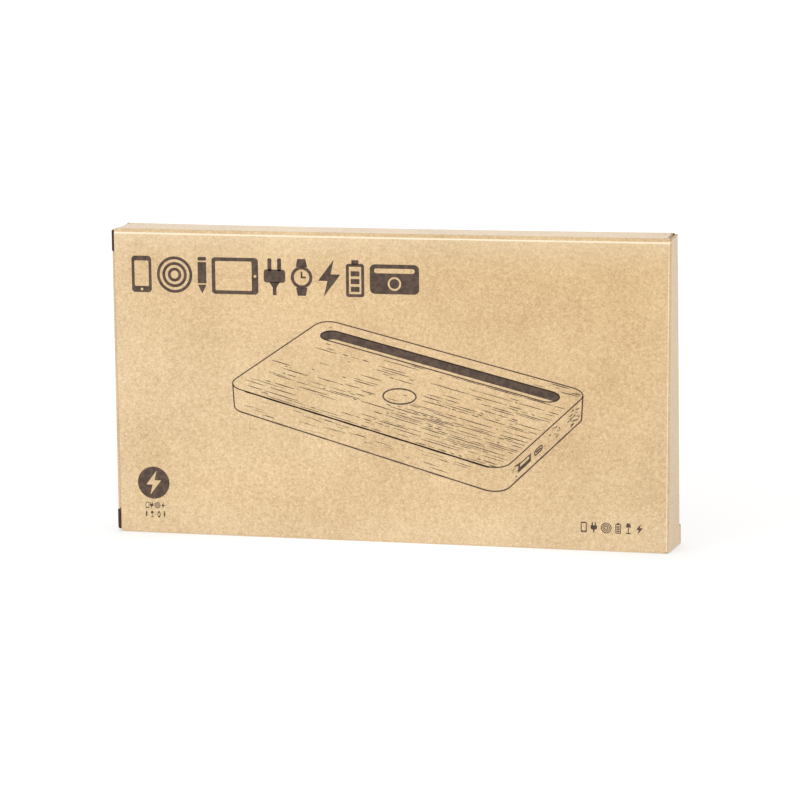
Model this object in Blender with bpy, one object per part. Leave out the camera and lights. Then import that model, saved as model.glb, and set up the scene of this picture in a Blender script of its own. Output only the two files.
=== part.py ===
"""A wireless charger in its kraft carton, as an assembly of separate pieces.

The carton is a reverse tuck end carton with slit locks. The right closure is hinged on the front panel and
tucks behind the back panel. The left one is the same piece turned half round the vertical axis.
The charger is a wooden slab with a pen slot, ports in one end, and its electronics in a hollow below.

Frame: X runs along the carton, the printed front looks to -Y, Z is up as the carton stands, and the origin
is under the middle of its footprint. Lengths are metres and angles radians.
"""
import math

import bmesh
import bpy
import numpy as np
from mathutils import Vector

# Carton, outside sizes
CARTON_LENGTH = 0.220
CARTON_DEPTH = 0.019
CARTON_HEIGHT = 0.122

# Board and its folds
BOARD = 0.001
FOLD_RADIUS = 0.0019
FOLD_STEPS = 3
CREASE_GAP = 0.0003
LAYER_GAP = 0.0003
CREASE_RELIEF = 0.0004
PANEL_STATIONS = 10

# Sleeve
RAW_EDGE_SETBACK = 0.0007
TOP_SAG = 0.0004
SAG_FRONT_SHARE = 0.35
GLUE_GAP = 0.00015
GLUE_FLAP_WIDTH = 0.012
GLUE_FLAP_SETBACK = 0.0095
GLUE_FLAP_TAPER = 0.004
SEAM_SETBACK = 0.0008

# Closures and their tuck flaps
CLOSURE_SIDE_GAP = 0.0004
CLOSURE_BULGE = 0.0016
BULGE_TOP_SHARE = 0.15
SLIT_LENGTH = 0.008
SLIT_WIDTH = 0.0006
TUCK_GAP = 0.0008
TUCK_REACH = 0.0095
TUCK_SIDE_GAP = 0.002
TUCK_CORNER_RADIUS = 0.005
TUCK_CORNER_STEPS = 4

# Dust flaps
DUST_LENGTH = 0.012
DUST_TIP_LENGTH = 0.001
DUST_BACK_SETBACK = 0.0031
DUST_FRONT_TAPER = 0.0042
DUST_BACK_TAPER = 0.0022
DUST_TIP_CHAMFER = 0.0008

# Folded spacer round the charger: a beam over it and a bay beside it
SPACER_TUCK_GAP = 0.001
SPACER_BEAM_HEIGHT = 0.01455
SPACER_BAY_LENGTH = 0.0357

# Charger slab, in its own frame: x along it, y from its front edge, z up from its underside.
# It fills what the carton and the spacer leave free.
CHARGER_END_GAP = 0.0012
CHARGER_BACK_GAP = 0.0009
CHARGER_CORNER_RADIUS = 0.0095
CHARGER_EDGE_RADIUS = 0.0008
CORNER_STEPS = 7

# Pen slot along the rear edge
SLOT_END_MARGIN = 0.00975
SLOT_WIDTH = 0.0134
SLOT_DEPTH = 0.0067
SLOT_REAR_RIM = 0.0103
SLOT_FLOOR_FILLET = 0.0012
SLOT_MOUTH_CHAMFER = 0.0005
SLOT_END_STEPS = 10

# Ring over the coil's middle that marks where a phone lies
MARK_RADIUS = 0.009
MARK_LINE = 0.0008
MARK_DEPTH = 0.0003
MARK_STEPS = 40

# Hollow below, and the plate that closes it
ROOF_THICKNESS = 0.003
HOLLOW_LEFT_WALL = 0.018
HOLLOW_RIGHT_WALL = 0.007
HOLLOW_FRONT_WALL = 0.015
HOLLOW_REAR_WALL = 0.0345
HOLLOW_CORNER_RADIUS = 0.003
COVER_THICKNESS = 0.0017
COVER_RECESS = 0.002
COVER_SIDE_MARGIN = 0.005
COVER_FRONT_MARGIN = 0.006
COVER_REAR_MARGIN = 0.027
COVER_CORNER_RADIUS = 0.006
PIECE_GAP = 0.0003
OVERRUN = 0.001

# Cover screws
SCREW_INSET = 0.0045
SCREW_HEAD_RADIUS = 0.0019
SCREW_HEAD_HEIGHT = 0.0011
SCREW_SHANK_RADIUS = 0.001
SCREW_LENGTH = 0.0065
SCREW_SINK = 0.0002
SCREW_POINT = 0.0012
SCREW_SIDES = 16

# Rubber feet
FOOT_RADIUS = 0.005
FOOT_HEIGHT = 0.0017
FOOT_RECESS = 0.0005
FOOT_EDGE_RADIUS = 0.0004
FOOT_END_INSET = 0.020
FOOT_FRONT_INSET = 0.020
FOOT_REAR_INSET = 0.013
FOOT_SIDES = 24

# Circuit board and what holds it
PCB_LENGTH = 0.0465
PCB_THICKNESS = 0.0012
PCB_WALL_GAP = 0.0005
PCB_FRONT_GAP = 0.002
PCB_REAR_GAP = 0.0055
PCB_CORNER_RADIUS = 0.001
BOSS_RADIUS = 0.0024
BOSS_HEIGHT = 0.0004
BOSS_INSET = 0.0045
BOARD_SCREW_SHANK_RADIUS = 0.00085
BOARD_SCREW_HEAD_RADIUS = 0.0018
BOARD_SCREW_HEAD_HEIGHT = 0.0011
BOARD_SCREW_LENGTH = 0.0026
BOARD_SCREW_FLOOR = 0.0004

# Ports in the right end
USB_A_FROM_FRONT = 0.026
USB_A_WIDTH = 0.0131
USB_A_HEIGHT = 0.0057
USB_A_DEPTH = 0.014
USB_A_WALL = 0.0004
USB_A_TONGUE_WIDTH = 0.0112
USB_A_TONGUE_HEIGHT = 0.0018
USB_A_TONGUE_LENGTH = 0.0088
USB_A_INSERT_BASE = 0.0035
USB_C_FROM_FRONT = 0.042
USB_C_WIDTH = 0.0089
USB_C_HEIGHT = 0.0032
USB_C_DEPTH = 0.0078
USB_C_WALL = 0.0003
USB_C_TONGUE_WIDTH = 0.0067
USB_C_TONGUE_HEIGHT = 0.0007
USB_C_TONGUE_LENGTH = 0.0045
USB_C_INSERT_BASE = 0.0015
PORT_SETBACK = 0.0005
PORT_BACK_WALL = 0.0006
PORT_END_STEPS = 8

# Coil, its ferrite and its pad
COIL_POINTS_PER_TURN = 24
COIL_INNER_RADIUS = 0.0095
COIL_MARGIN = 0.003
COIL_PITCH = 0.00135
WIRE_RADIUS = 0.00045
WIRE_LEAST_GAP = 0.0004
LEAD_DROP = 0.0014
LEAD_POINT_SPACING = 0.0018
LEAD_LOOP_RADIUS = 0.0032
LEAD_SPREAD = 0.0065
LEAD_PAD_REACH = 0.0045
LEAD_LENGTH_BEYOND = 0.003
LEAD_BAY_LENGTH = 0.0031
FERRITE_WALL_GAP = 0.00075
FERRITE_THICKNESS = 0.00145
FERRITE_NOTCH = 0.0026
FERRITE_SIDES = 40
PAD_MARGIN = 0.006
PAD_SIDES = 32

# Parts on the circuit board: length, width, height, and place as shares of the board
CHIP_SIZE = (0.005, 0.005, 0.0009)
CHIP_PLACE_SHARES = (0.40, 0.50)
BRIDGE_SIZE = (0.005, 0.006, 0.0011)
BRIDGE_PLACE_SHARES = ((0.17, 0.62), (0.17, 0.86))
CAPACITOR_SIZE = (0.0057, 0.005, 0.0025)
CAPACITOR_PLACE_SHARES = ((0.40, 0.74), (0.58, 0.74), (0.76, 0.74))
INDUCTOR_SIZE = (0.0068, 0.0068, 0.003)
INDUCTOR_PLACE_SHARES = (0.50, 0.22)
PACKAGE_BEVEL = 0.0003
INDUCTOR_BEVEL = 0.0008

# Worked out from the sizes above
HALF_LENGTH = CARTON_LENGTH / 2
HALF_DEPTH = CARTON_DEPTH / 2
CREASE_ANGLE = math.radians(45)
GAP_ANGLE = CREASE_GAP / 2 / (FOLD_RADIUS - BOARD / 2)
DUST_FACE = HALF_LENGTH - BOARD - LAYER_GAP
DUST_FRONT = -HALF_DEPTH + FOLD_RADIUS + CREASE_RELIEF
DUST_BACK = HALF_DEPTH - DUST_BACK_SETBACK
TUCK_FACE = HALF_DEPTH - BOARD - TUCK_GAP
CLOSURE_RAW_EDGE = HALF_DEPTH - BOARD - LAYER_GAP
CLOSURE_BOTTOM = CLOSURE_SIDE_GAP
CLOSURE_TOP = CARTON_HEIGHT - CLOSURE_SIDE_GAP
TUCK_FOLD_BOTTOM = CLOSURE_BOTTOM + SLIT_LENGTH
TUCK_FOLD_TOP = CLOSURE_TOP - SLIT_LENGTH
GLUE_FACE = BOARD + GLUE_GAP
FLOOR_TOP = GLUE_FACE + BOARD
CLOSURE_CENTRE = (HALF_LENGTH - FOLD_RADIUS, FOLD_RADIUS - HALF_DEPTH)
TUCK_CENTRE = (HALF_LENGTH - FOLD_RADIUS, TUCK_FACE - FOLD_RADIUS)
DUST_CENTRE = (DUST_FACE - FOLD_RADIUS, CARTON_HEIGHT - FOLD_RADIUS)

SPACER_REACH = HALF_LENGTH - TUCK_REACH - SPACER_TUCK_GAP
SPACER_PARTITION = SPACER_BAY_LENGTH - SPACER_REACH
SPACER_ROOF = CARTON_HEIGHT - BOARD - TOP_SAG - LAYER_GAP
SPACER_SHELF = SPACER_ROOF - SPACER_BEAM_HEIGHT

CHARGER_RIGHT = DUST_FACE - BOARD - CHARGER_END_GAP
CHARGER_LEFT = SPACER_PARTITION + LAYER_GAP
CHARGER_FLOOR = FLOOR_TOP + LAYER_GAP
CHARGER_FACE = -HALF_DEPTH + BOARD + LAYER_GAP
CHARGER_LENGTH = CHARGER_RIGHT - CHARGER_LEFT
CHARGER_WIDTH = SPACER_SHELF - LAYER_GAP - CHARGER_FLOOR
CHARGER_THICKNESS = TUCK_FACE - BOARD - CHARGER_BACK_GAP - CHARGER_FACE
SLOT_LENGTH = CHARGER_LENGTH - 2 * SLOT_END_MARGIN
ROOF = CHARGER_THICKNESS - ROOF_THICKNESS
HOLLOW_REAR = CHARGER_WIDTH - HOLLOW_REAR_WALL
PCB_RIGHT = CHARGER_LENGTH - HOLLOW_RIGHT_WALL - PCB_WALL_GAP
PCB_LEFT = PCB_RIGHT - PCB_LENGTH
PCB_FRONT = HOLLOW_FRONT_WALL + PCB_FRONT_GAP
PCB_WIDTH = HOLLOW_REAR - PCB_REAR_GAP - PCB_FRONT
PCB_UNDERSIDE = COVER_THICKNESS + BOSS_HEIGHT + PIECE_GAP
PCB_TOP = PCB_UNDERSIDE + PCB_THICKNESS
PART_SEAT = PCB_TOP + PIECE_GAP
PORT_FACE = CHARGER_LENGTH - PORT_SETBACK
FERRITE_RADIUS = (HOLLOW_REAR - HOLLOW_FRONT_WALL) / 2 - FERRITE_WALL_GAP
PAD_RADIUS = FERRITE_RADIUS - PAD_MARGIN
COIL_TURNS = round((FERRITE_RADIUS - COIL_MARGIN - COIL_INNER_RADIUS) / COIL_PITCH)
COIL_X = PCB_LEFT - LEAD_BAY_LENGTH - FERRITE_RADIUS
COIL_Y = (HOLLOW_FRONT_WALL + HOLLOW_REAR) / 2
COIL_Z = ROOF - PIECE_GAP - WIRE_RADIUS
FERRITE_TOP = COIL_Z - WIRE_RADIUS - PIECE_GAP


def clear_scene():
    """Removes whatever the file holds."""
    for item in list(bpy.data.objects):
        bpy.data.objects.remove(item, do_unlink=True)


def make_material(name, colour, roughness, metallic=0.0):
    """A Principled material with a colour, a roughness and a metallic value."""
    made = bpy.data.materials.new(name)
    made.use_nodes = True
    shader = made.node_tree.nodes["Principled BSDF"]
    shader.inputs["Base Color"].default_value = (*colour, 1.0)
    shader.inputs["Roughness"].default_value = roughness
    shader.inputs["Metallic"].default_value = metallic
    return made


def add_object(name, mesh, made_of=None, parent=None):
    """Links a mesh or curve to the scene under a name, a material and a parent."""
    piece = bpy.data.objects.new(name, mesh)
    bpy.context.collection.objects.link(piece)
    if made_of is not None:
        mesh.materials.append(made_of)
    piece.parent = parent
    return piece


def mesh_from(bm, name, smooth_angle=None):
    """Turns a bmesh into a mesh, with smooth shading below an angle where one is given."""
    mesh = bpy.data.meshes.new(name)
    bm.to_mesh(mesh)
    bm.free()
    if smooth_angle is not None:
        mesh.shade_smooth()
        mesh.set_sharp_from_angle(angle=smooth_angle)
    return mesh


SMOOTH_ANGLE = math.radians(35)


def arc(centre, radius, start, end, steps):
    """Points along an arc, both ends included."""
    points = []
    for step in range(steps + 1):
        angle = start + (end - start) * step / steps
        points.append((centre[0] + radius * math.cos(angle), centre[1] + radius * math.sin(angle)))
    return points


# Board: each panel is drawn as its outer face and thickened inward. A patch of that face is a list of rows,
# and each place in a row is a point with the direction that looks out of the board there.


def fold_profile(centre, radius, start, end, steps):
    """A fold seen along its axis: (a, b, out a, out b) from one angle to another."""
    profile = []
    for a, b in arc(centre, radius, start, end, steps):
        profile.append((a, b, (a - centre[0]) / radius, (b - centre[1]) / radius))
    return profile


def upright(profile, levels):
    """A patch from an (x, y) profile, one row for each height."""
    return [[((a, b, z), (out_a, out_b, 0.0)) for a, b, out_a, out_b in profile] for z in levels]


def across(profile, depths):
    """A patch from an (x, z) profile, one row for each y."""
    return [[((a, y, b), (out_a, 0.0, out_b)) for a, b, out_a, out_b in profile] for y in depths]


def changed(patch, change):
    """A patch with its points and their directions put through a change, which is told which one it gets."""
    return [[(change(point, True), change(out, False)) for point, out in row] for row in patch]


def half_turned(place, _):
    """Turned half round the Z axis."""
    return (-place[0], -place[1], place[2])


def upside_down(place, is_point):
    """Mirrored from the top of the carton to its bottom."""
    return (place[0], place[1], (CARTON_HEIGHT if is_point else 0.0) - place[2])


WELD_DISTANCE = 1e-6


def board_piece(name, patches, bend=None, turn=1.0, pivot=(0.0, 0.0, 0.0), parent=None):
    """One sheet of board from patches of its outer face.

    bend moves the points of the finished sheet. turn is -1 for a piece of the left end, which is the right
    one turned half round Z. pivot is where the piece's origin goes.
    """
    bm = bmesh.new()
    outward = bm.verts.layers.float_vector.new("outward")
    for rows in patches:
        grid = []
        for row in rows:
            grid.append([])
            for point, out in row:
                vertex = bm.verts.new(point)
                vertex[outward] = out
                grid[-1].append(vertex)
        for lower, upper in zip(grid, grid[1:]):
            for column in range(len(lower) - 1):
                bm.faces.new((lower[column], lower[column + 1], upper[column + 1], upper[column]))
    bmesh.ops.remove_doubles(bm, verts=bm.verts, dist=WELD_DISTANCE)
    bm.normal_update()
    inward = [face for face in bm.faces if face.normal.dot(face.verts[0][outward]) < 0]
    bmesh.ops.reverse_faces(bm, faces=inward)
    outer = list(bm.faces)
    rim = [edge.link_loops[0] for edge in bm.edges if edge.is_boundary]
    rim = [(loop.vert, loop.link_loop_next.vert) for loop in rim]
    twin = {}
    for vertex in list(bm.verts):
        twin[vertex] = bm.verts.new(vertex.co - BOARD * vertex[outward])
    for face in outer:
        bm.faces.new([twin[vertex] for vertex in reversed(face.verts)])
    for first, second in rim:
        bm.faces.new((second, first, twin[first], twin[second]))
    for vertex in bm.verts:
        if bend is not None:
            vertex.co = bend(vertex.co)
        vertex.co = Vector((turn * vertex.co.x, turn * vertex.co.y, vertex.co.z)) - Vector(pivot)
    piece = add_object(name, mesh_from(bm, name, SMOOTH_ANGLE), KRAFT, parent)
    piece.location = Vector(pivot) - (parent.matrix_world.translation if parent else Vector())
    bpy.context.view_layer.update()
    return piece


def sag(point):
    """The top edge hangs a little between its ends, most along the back."""
    height_share = max(0.0, point.z / CARTON_HEIGHT - 0.5) * 2
    depth_share = (point.y + HALF_DEPTH) / CARTON_DEPTH
    across = SAG_FRONT_SHARE + (1 - SAG_FRONT_SHARE) * min(max(depth_share, 0.0), 1.0)
    along = 1 - min(1.0, abs(point.x) / HALF_LENGTH) ** 2
    return Vector((point.x, point.y, point.z - TOP_SAG * height_share * across * along))


def sleeve_section():
    """The sleeve's outer face as (y, z, out y, out z, left x, right x), from the seam at the back of the
    bottom round to the glue flap."""
    end = DUST_CENTRE[0]
    raw = HALF_LENGTH - RAW_EDGE_SETBACK
    hinged = HALF_LENGTH - FOLD_RADIUS
    glue = HALF_LENGTH - GLUE_FLAP_SETBACK
    inner = HALF_DEPTH - FOLD_RADIUS
    steps = 2 * FOLD_STEPS
    spans = {"narrow": (-end, end), "front": (-raw, hinged), "back": (-hinged, raw), "glue": (-glue, glue)}
    breaks = (-inner, DUST_FRONT, -DUST_BACK, DUST_BACK, -DUST_FRONT, inner)

    def fold(centre, start, before, after):
        """A quarter fold whose span goes from one panel's to the next one's."""
        rows = []
        for step, place in enumerate(fold_profile(centre, FOLD_RADIUS, start, start - math.pi / 2, steps)):
            share = step / steps
            left = spans[before][0] * (1 - share) + spans[after][0] * share
            right = spans[before][1] * (1 - share) + spans[after][1] * share
            rows.append((*place, left, right))
        return rows

    low = FOLD_RADIUS
    high = CARTON_HEIGHT - FOLD_RADIUS
    rows = [(HALF_DEPTH - SEAM_SETBACK, 0.0, 0.0, -1.0, -end, end)]
    rows += [(y, 0.0, 0.0, -1.0, -end, end) for y in reversed(breaks[1:])]
    rows += fold((-inner, low), -math.pi / 2, "narrow", "front")
    rows += [(-HALF_DEPTH, low + CREASE_RELIEF, -1.0, 0.0, *spans["front"])]
    rows += [(-HALF_DEPTH, high - CREASE_RELIEF, -1.0, 0.0, *spans["front"])]
    rows += fold((-inner, high), math.pi, "front", "narrow")
    rows += [(y, CARTON_HEIGHT, 0.0, 1.0, -end, end) for y in breaks[1:-1]]
    rows += fold((inner, high), math.pi / 2, "narrow", "back")
    rows += [(HALF_DEPTH, high - CREASE_RELIEF, 1.0, 0.0, *spans["back"])]
    rows += [(HALF_DEPTH, low + GLUE_FACE + CREASE_RELIEF, 1.0, 0.0, *spans["back"])]
    rows += fold((inner, low + GLUE_FACE), 0.0, "back", "glue")
    tapered = glue - GLUE_FLAP_TAPER
    rows += [(inner - GLUE_FLAP_WIDTH, GLUE_FACE, 0.0, -1.0, -tapered, tapered)]
    return rows


def spread(y, z, out_y, out_z, left, right):
    """A row of places along X."""
    row = []
    for station in range(PANEL_STATIONS + 1):
        x = left + (right - left) * station / PANEL_STATIONS
        row.append(((x, y, z), (0.0, out_y, out_z)))
    return row


def make_sleeve():
    """Front, top, back and bottom panel with the glue flap: one folded sheet.

    At each end it keeps its half of the crease of every panel that is hinged on it there.
    """
    turned = CREASE_ANGLE - GAP_ANGLE
    crease = fold_profile(CLOSURE_CENTRE, FOLD_RADIUS, -math.pi / 2, turned - math.pi / 2, FOLD_STEPS)
    over = fold_profile(DUST_CENTRE, FOLD_RADIUS, math.pi / 2, math.pi / 2 - turned, FOLD_STEPS)
    high = CARTON_HEIGHT - FOLD_RADIUS - CREASE_RELIEF
    low = FOLD_RADIUS + CREASE_RELIEF
    top_strip = across(over, (DUST_FRONT, -DUST_BACK, DUST_BACK))
    patches = [[spread(*row) for row in sleeve_section()]]
    patches += [upright(crease, (low, high)), top_strip, changed(top_strip, upside_down)]
    left = [upright(crease, (low + GLUE_FACE, high)), top_strip, changed(top_strip, upside_down)]
    patches += [changed(patch, half_turned) for patch in left]
    return board_piece("carton_sleeve", patches, bend=sag)


def bulged(amount):
    """A closure whose back edge stands out, most at the bottom, because its tuck isn't pushed home."""

    def bend(point):
        depth_share = min(1.0, max(0.0, (point.y + HALF_DEPTH) / CARTON_DEPTH))
        height_share = 1 - (1 - BULGE_TOP_SHARE) * point.z / CARTON_HEIGHT
        return Vector((point.x + amount * depth_share * height_share, point.y, point.z))

    return bend


def make_closure(side, turn, bulge):
    """An end panel: half a crease at its hinged edge, half a fold or a raw slit edge at the other."""
    crease = fold_profile(CLOSURE_CENTRE, FOLD_RADIUS, GAP_ANGLE - CREASE_ANGLE, 0.0, FOLD_STEPS)
    fold = fold_profile(TUCK_CENTRE, FOLD_RADIUS, 0.0, CREASE_ANGLE - GAP_ANGLE, FOLD_STEPS)
    start = fold[0]
    raw = [start, (HALF_LENGTH, CLOSURE_RAW_EDGE, 1.0, 0.0)]
    levels = (
        CLOSURE_BOTTOM,
        TUCK_FOLD_BOTTOM - SLIT_WIDTH,
        TUCK_FOLD_BOTTOM,
        TUCK_FOLD_TOP,
        TUCK_FOLD_TOP + SLIT_WIDTH,
        CLOSURE_TOP,
    )
    patches = [upright(crease + [start], levels), upright(fold, levels[2:4])]
    patches += [upright(raw, levels[:2]), upright(raw, levels[4:])]
    x, y = closure_hinge()
    pivot = (turn * x, turn * y, 0.0)
    return board_piece(side + "_closure", patches, bend=bulged(bulge), turn=turn, pivot=pivot)


def closure_hinge():
    """The closure opens outward about the outer face of its crease: x and y at the right end."""
    reach = FOLD_RADIUS * math.cos(CREASE_ANGLE)
    return CLOSURE_CENTRE[0] + reach, CLOSURE_CENTRE[1] - reach


def tuck_hinge():
    """The tuck flap folds inward about the inner face of its fold: x and y at the right end, before any bulge."""
    reach = (FOLD_RADIUS - BOARD) * math.cos(CREASE_ANGLE)
    return TUCK_CENTRE[0] + reach, TUCK_CENTRE[1] + reach


def make_tuck_flap(side, turn, bulge, closure):
    """The flap behind the far panel. It is slit from the closure near both ends of its fold."""
    free_end = HALF_LENGTH - TUCK_REACH
    ear = DUST_FACE - BOARD - LAYER_GAP
    fold = fold_profile(TUCK_CENTRE, FOLD_RADIUS, CREASE_ANGLE + GAP_ANGLE, math.pi / 2, FOLD_STEPS)
    neck = upright(fold + [(ear, TUCK_FACE, 0.0, 1.0)], (TUCK_FOLD_BOTTOM, TUCK_FOLD_TOP))
    columns = [(ear, 0.0)]
    for step in range(TUCK_CORNER_STEPS, -1, -1):
        angle = math.pi / 2 * step / TUCK_CORNER_STEPS
        inward = TUCK_CORNER_RADIUS * (1 - math.sin(angle))
        columns.append((free_end + TUCK_CORNER_RADIUS * (1 - math.cos(angle)), inward))
    flap = [[], [], [], []]
    for x, inward in columns:
        flap[0].append(((x, TUCK_FACE, TUCK_SIDE_GAP + inward), (0.0, 1.0, 0.0)))
        flap[1].append(((x, TUCK_FACE, TUCK_FOLD_BOTTOM), (0.0, 1.0, 0.0)))
        flap[2].append(((x, TUCK_FACE, TUCK_FOLD_TOP), (0.0, 1.0, 0.0)))
        flap[3].append(((x, TUCK_FACE, CARTON_HEIGHT - TUCK_SIDE_GAP - inward), (0.0, 1.0, 0.0)))
    bend = bulged(bulge)
    x, y = tuck_hinge()
    foot = bend(Vector((x, y, 0.0)))
    pivot = (turn * foot.x, turn * foot.y, 0.0)
    return board_piece(side + "_tuck_flap", [flap, neck], bend=bend, turn=turn, pivot=pivot, parent=closure)


def make_dust_flap(side, turn, level):
    """A tapered flap folded in from the end of the top or the bottom panel."""
    fold = fold_profile(DUST_CENTRE, FOLD_RADIUS, CREASE_ANGLE - GAP_ANGLE, 0.0, FOLD_STEPS)
    length = DUST_LENGTH - FOLD_RADIUS
    rows = [(place, DUST_FRONT, DUST_BACK) for place in fold]
    for depth, chamfer in ((length - DUST_TIP_LENGTH, 0.0), (length, DUST_TIP_CHAMFER)):
        front = DUST_FRONT + DUST_FRONT_TAPER * depth / length + chamfer
        back = DUST_BACK - DUST_BACK_TAPER * depth / length - chamfer
        rows.append(((DUST_FACE, DUST_CENTRE[1] - depth, 1.0, 0.0), front, back))
    patch = [across([place], (front, back)) for place, front, back in rows]
    patch = [[row[0][0], row[1][0]] for row in patch]
    reach = FOLD_RADIUS * math.cos(CREASE_ANGLE)
    hinge = (DUST_CENTRE[0] + reach, 0.0, DUST_CENTRE[1] + reach)
    if level == "bottom":
        patch = changed(patch, upside_down)
        hinge = upside_down(hinge, True)
    pivot = (turn * hinge[0], 0.0, hinge[2])
    return board_piece(side + "_dust_flap_" + level, [patch], turn=turn, pivot=pivot)


def rounded_path(corners):
    """A profile through corners given as (x, z, radius of the outer face), the outer face on the right."""
    places = [Vector(corner[:2]) for corner in corners]
    profile = []
    for before, after in zip(places, places[1:]):
        ahead = (after - before).normalized()
        profile.append((before, after, ahead, Vector((ahead.y, -ahead.x))))
    path = [(*places[0], *profile[0][3])]
    for (_, corner, ahead, out), (_, _, onward, _), (_, _, radius) in zip(profile, profile[1:], corners[1:]):
        convex = ahead.x * onward.y - ahead.y * onward.x > 0
        centre = corner + (onward - ahead) * radius
        sign = 1.0 if convex else -1.0
        start = math.atan2(out.y * sign, out.x * sign)
        quarter = math.pi / 2 * sign
        for a, b, out_a, out_b in fold_profile(centre, radius, start, start + quarter, 2 * FOLD_STEPS):
            path.append((a, b, out_a * sign, out_b * sign))
    path.append((*places[-1], *profile[-1][3]))
    return path


def make_spacer():
    """A strip folded into a beam over the charger and a bay beside it, for the cable that the box holds."""
    foot = FLOOR_TOP + LAYER_GAP
    side = HALF_DEPTH - BOARD - LAYER_GAP
    path = rounded_path(
        (
            (SPACER_PARTITION, foot, 0.0),
            (SPACER_PARTITION, SPACER_SHELF, FOLD_RADIUS - BOARD),
            (SPACER_REACH, SPACER_SHELF, FOLD_RADIUS),
            (SPACER_REACH, SPACER_ROOF, FOLD_RADIUS),
            (-SPACER_REACH, SPACER_ROOF, FOLD_RADIUS),
            (-SPACER_REACH, foot, 0.0),
        )
    )
    return board_piece("inner_spacer", [across(path, (-side, side))])


def make_carton():
    """The nine pieces of the carton and the spacer in it."""
    make_sleeve()
    for side, turn, bulge in (("right", 1.0, CLOSURE_BULGE), ("left", -1.0, 0.0)):
        closure = make_closure(side, turn, bulge)
        make_tuck_flap(side, turn, bulge, closure)
        for level in ("top", "bottom"):
            make_dust_flap(side, turn, level)
    make_spacer()


# Solids of the charger


def rounded_outline(low, high, radius, steps):
    """The corners of a rectangle with round corners, from (x, y) to (x, y)."""
    points = []
    corners = (
        (high[0] - radius, high[1] - radius, 0.0),
        (low[0] + radius, high[1] - radius, math.pi / 2),
        (low[0] + radius, low[1] + radius, math.pi),
        (high[0] - radius, low[1] + radius, -math.pi / 2),
    )
    for x, y, start in corners:
        points += arc((x, y), radius, start, start + math.pi / 2, steps)
    return points


def round_outline(centre, radius, sides):
    """A circle as a polygon."""
    return arc(centre, radius, 0.0, 2 * math.pi * (sides - 1) / sides, sides - 1)


def loft(name, layers, made_of=None, parent=None, smooth=True):
    """A closed solid through outlines of the same number of points, each given with its height, low to high."""
    bm = bmesh.new()
    rings = []
    for outline, height in layers:
        rings.append([bm.verts.new((x, y, height)) for x, y in outline])
    for lower, upper in zip(rings, rings[1:]):
        for index, vertex in enumerate(lower):
            following = (index + 1) % len(lower)
            bm.faces.new((vertex, lower[following], upper[following], upper[index]))
    bm.faces.new(list(reversed(rings[0])))
    bm.faces.new(rings[-1])
    bmesh.ops.remove_doubles(bm, verts=bm.verts, dist=WELD_DISTANCE)
    return add_object(name, mesh_from(bm, name, SMOOTH_ANGLE if smooth else None), made_of, parent)


def turned(name, profile, sides, made_of=None, parent=None):
    """A solid of revolution about Z from (radius, height) points, bottom to top."""
    layers = [(round_outline((0.0, 0.0), radius, sides), height) for radius, height in profile]
    return loft(name, layers, made_of, parent)


def block(name, low, high, bevel, made_of, parent):
    """A box between two corners, with a small bevel on every edge."""
    outline = ((high[0], high[1]), (low[0], high[1]), (low[0], low[1]), (high[0], low[1]))
    piece = loft(name, [(outline, low[2]), (outline, high[2])], made_of, parent, smooth=False)
    if bevel > 0:
        rounding = piece.modifiers.new("edges", "BEVEL")
        rounding.width = bevel
        rounding.segments = 1
    return piece


def hide_cutter(cutter):
    """Marks an object that only cuts others."""
    cutter.hide_render = True
    cutter.display_type = "WIRE"
    return cutter


def cut(piece, cutter):
    """Takes a cutter away from a piece."""
    taken = piece.modifiers.new(cutter.name, "BOOLEAN")
    taken.operation = "DIFFERENCE"
    taken.solver = "EXACT"
    taken.object = hide_cutter(cutter)


def inset(outline, centre, distance):
    """An outline drawn in towards a line along X through centre, by a distance at each side and end."""
    xs = [x for x, _ in outline]
    ys = [y for _, y in outline]
    half_x = (max(xs) - min(xs)) / 2
    half_y = (max(ys) - min(ys)) / 2
    scaled = []
    for x, y in outline:
        straight = half_x - half_y
        middle = min(max(x - centre[0], -straight), straight)
        share = (half_y - distance) / half_y
        scaled.append((centre[0] + middle + (x - centre[0] - middle) * share, centre[1] + (y - centre[1]) * share))
    return scaled


def stadium(centre, length, width, steps):
    """An outline with two straight sides along X and round ends."""
    radius = width / 2
    reach = length / 2 - radius
    right = arc((centre[0] + reach, centre[1]), radius, -math.pi / 2, math.pi / 2, steps)
    left = arc((centre[0] - reach, centre[1]), radius, math.pi / 2, 3 * math.pi / 2, steps)
    return right + left


def slot_cutter(frame):
    """The pen slot: a round-ended trough with a filleted floor and a chamfered mouth."""
    centre = (CHARGER_LENGTH / 2, CHARGER_WIDTH - SLOT_REAR_RIM - SLOT_WIDTH / 2)
    outline = stadium(centre, SLOT_LENGTH, SLOT_WIDTH, SLOT_END_STEPS)
    floor = CHARGER_THICKNESS - SLOT_DEPTH
    layers = []
    for step in range(FOLD_STEPS + 1):
        angle = math.pi / 2 * step / FOLD_STEPS
        drawn_in = SLOT_FLOOR_FILLET * (1 - math.sin(angle))
        layers.append((inset(outline, centre, drawn_in), floor + SLOT_FLOOR_FILLET * (1 - math.cos(angle))))
    layers.append((outline, CHARGER_THICKNESS - SLOT_MOUTH_CHAMFER))
    flare = SLOT_MOUTH_CHAMFER + OVERRUN
    layers.append((inset(outline, centre, -flare), CHARGER_THICKNESS + OVERRUN))
    return loft("slot_cutter", layers, parent=frame)


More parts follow.
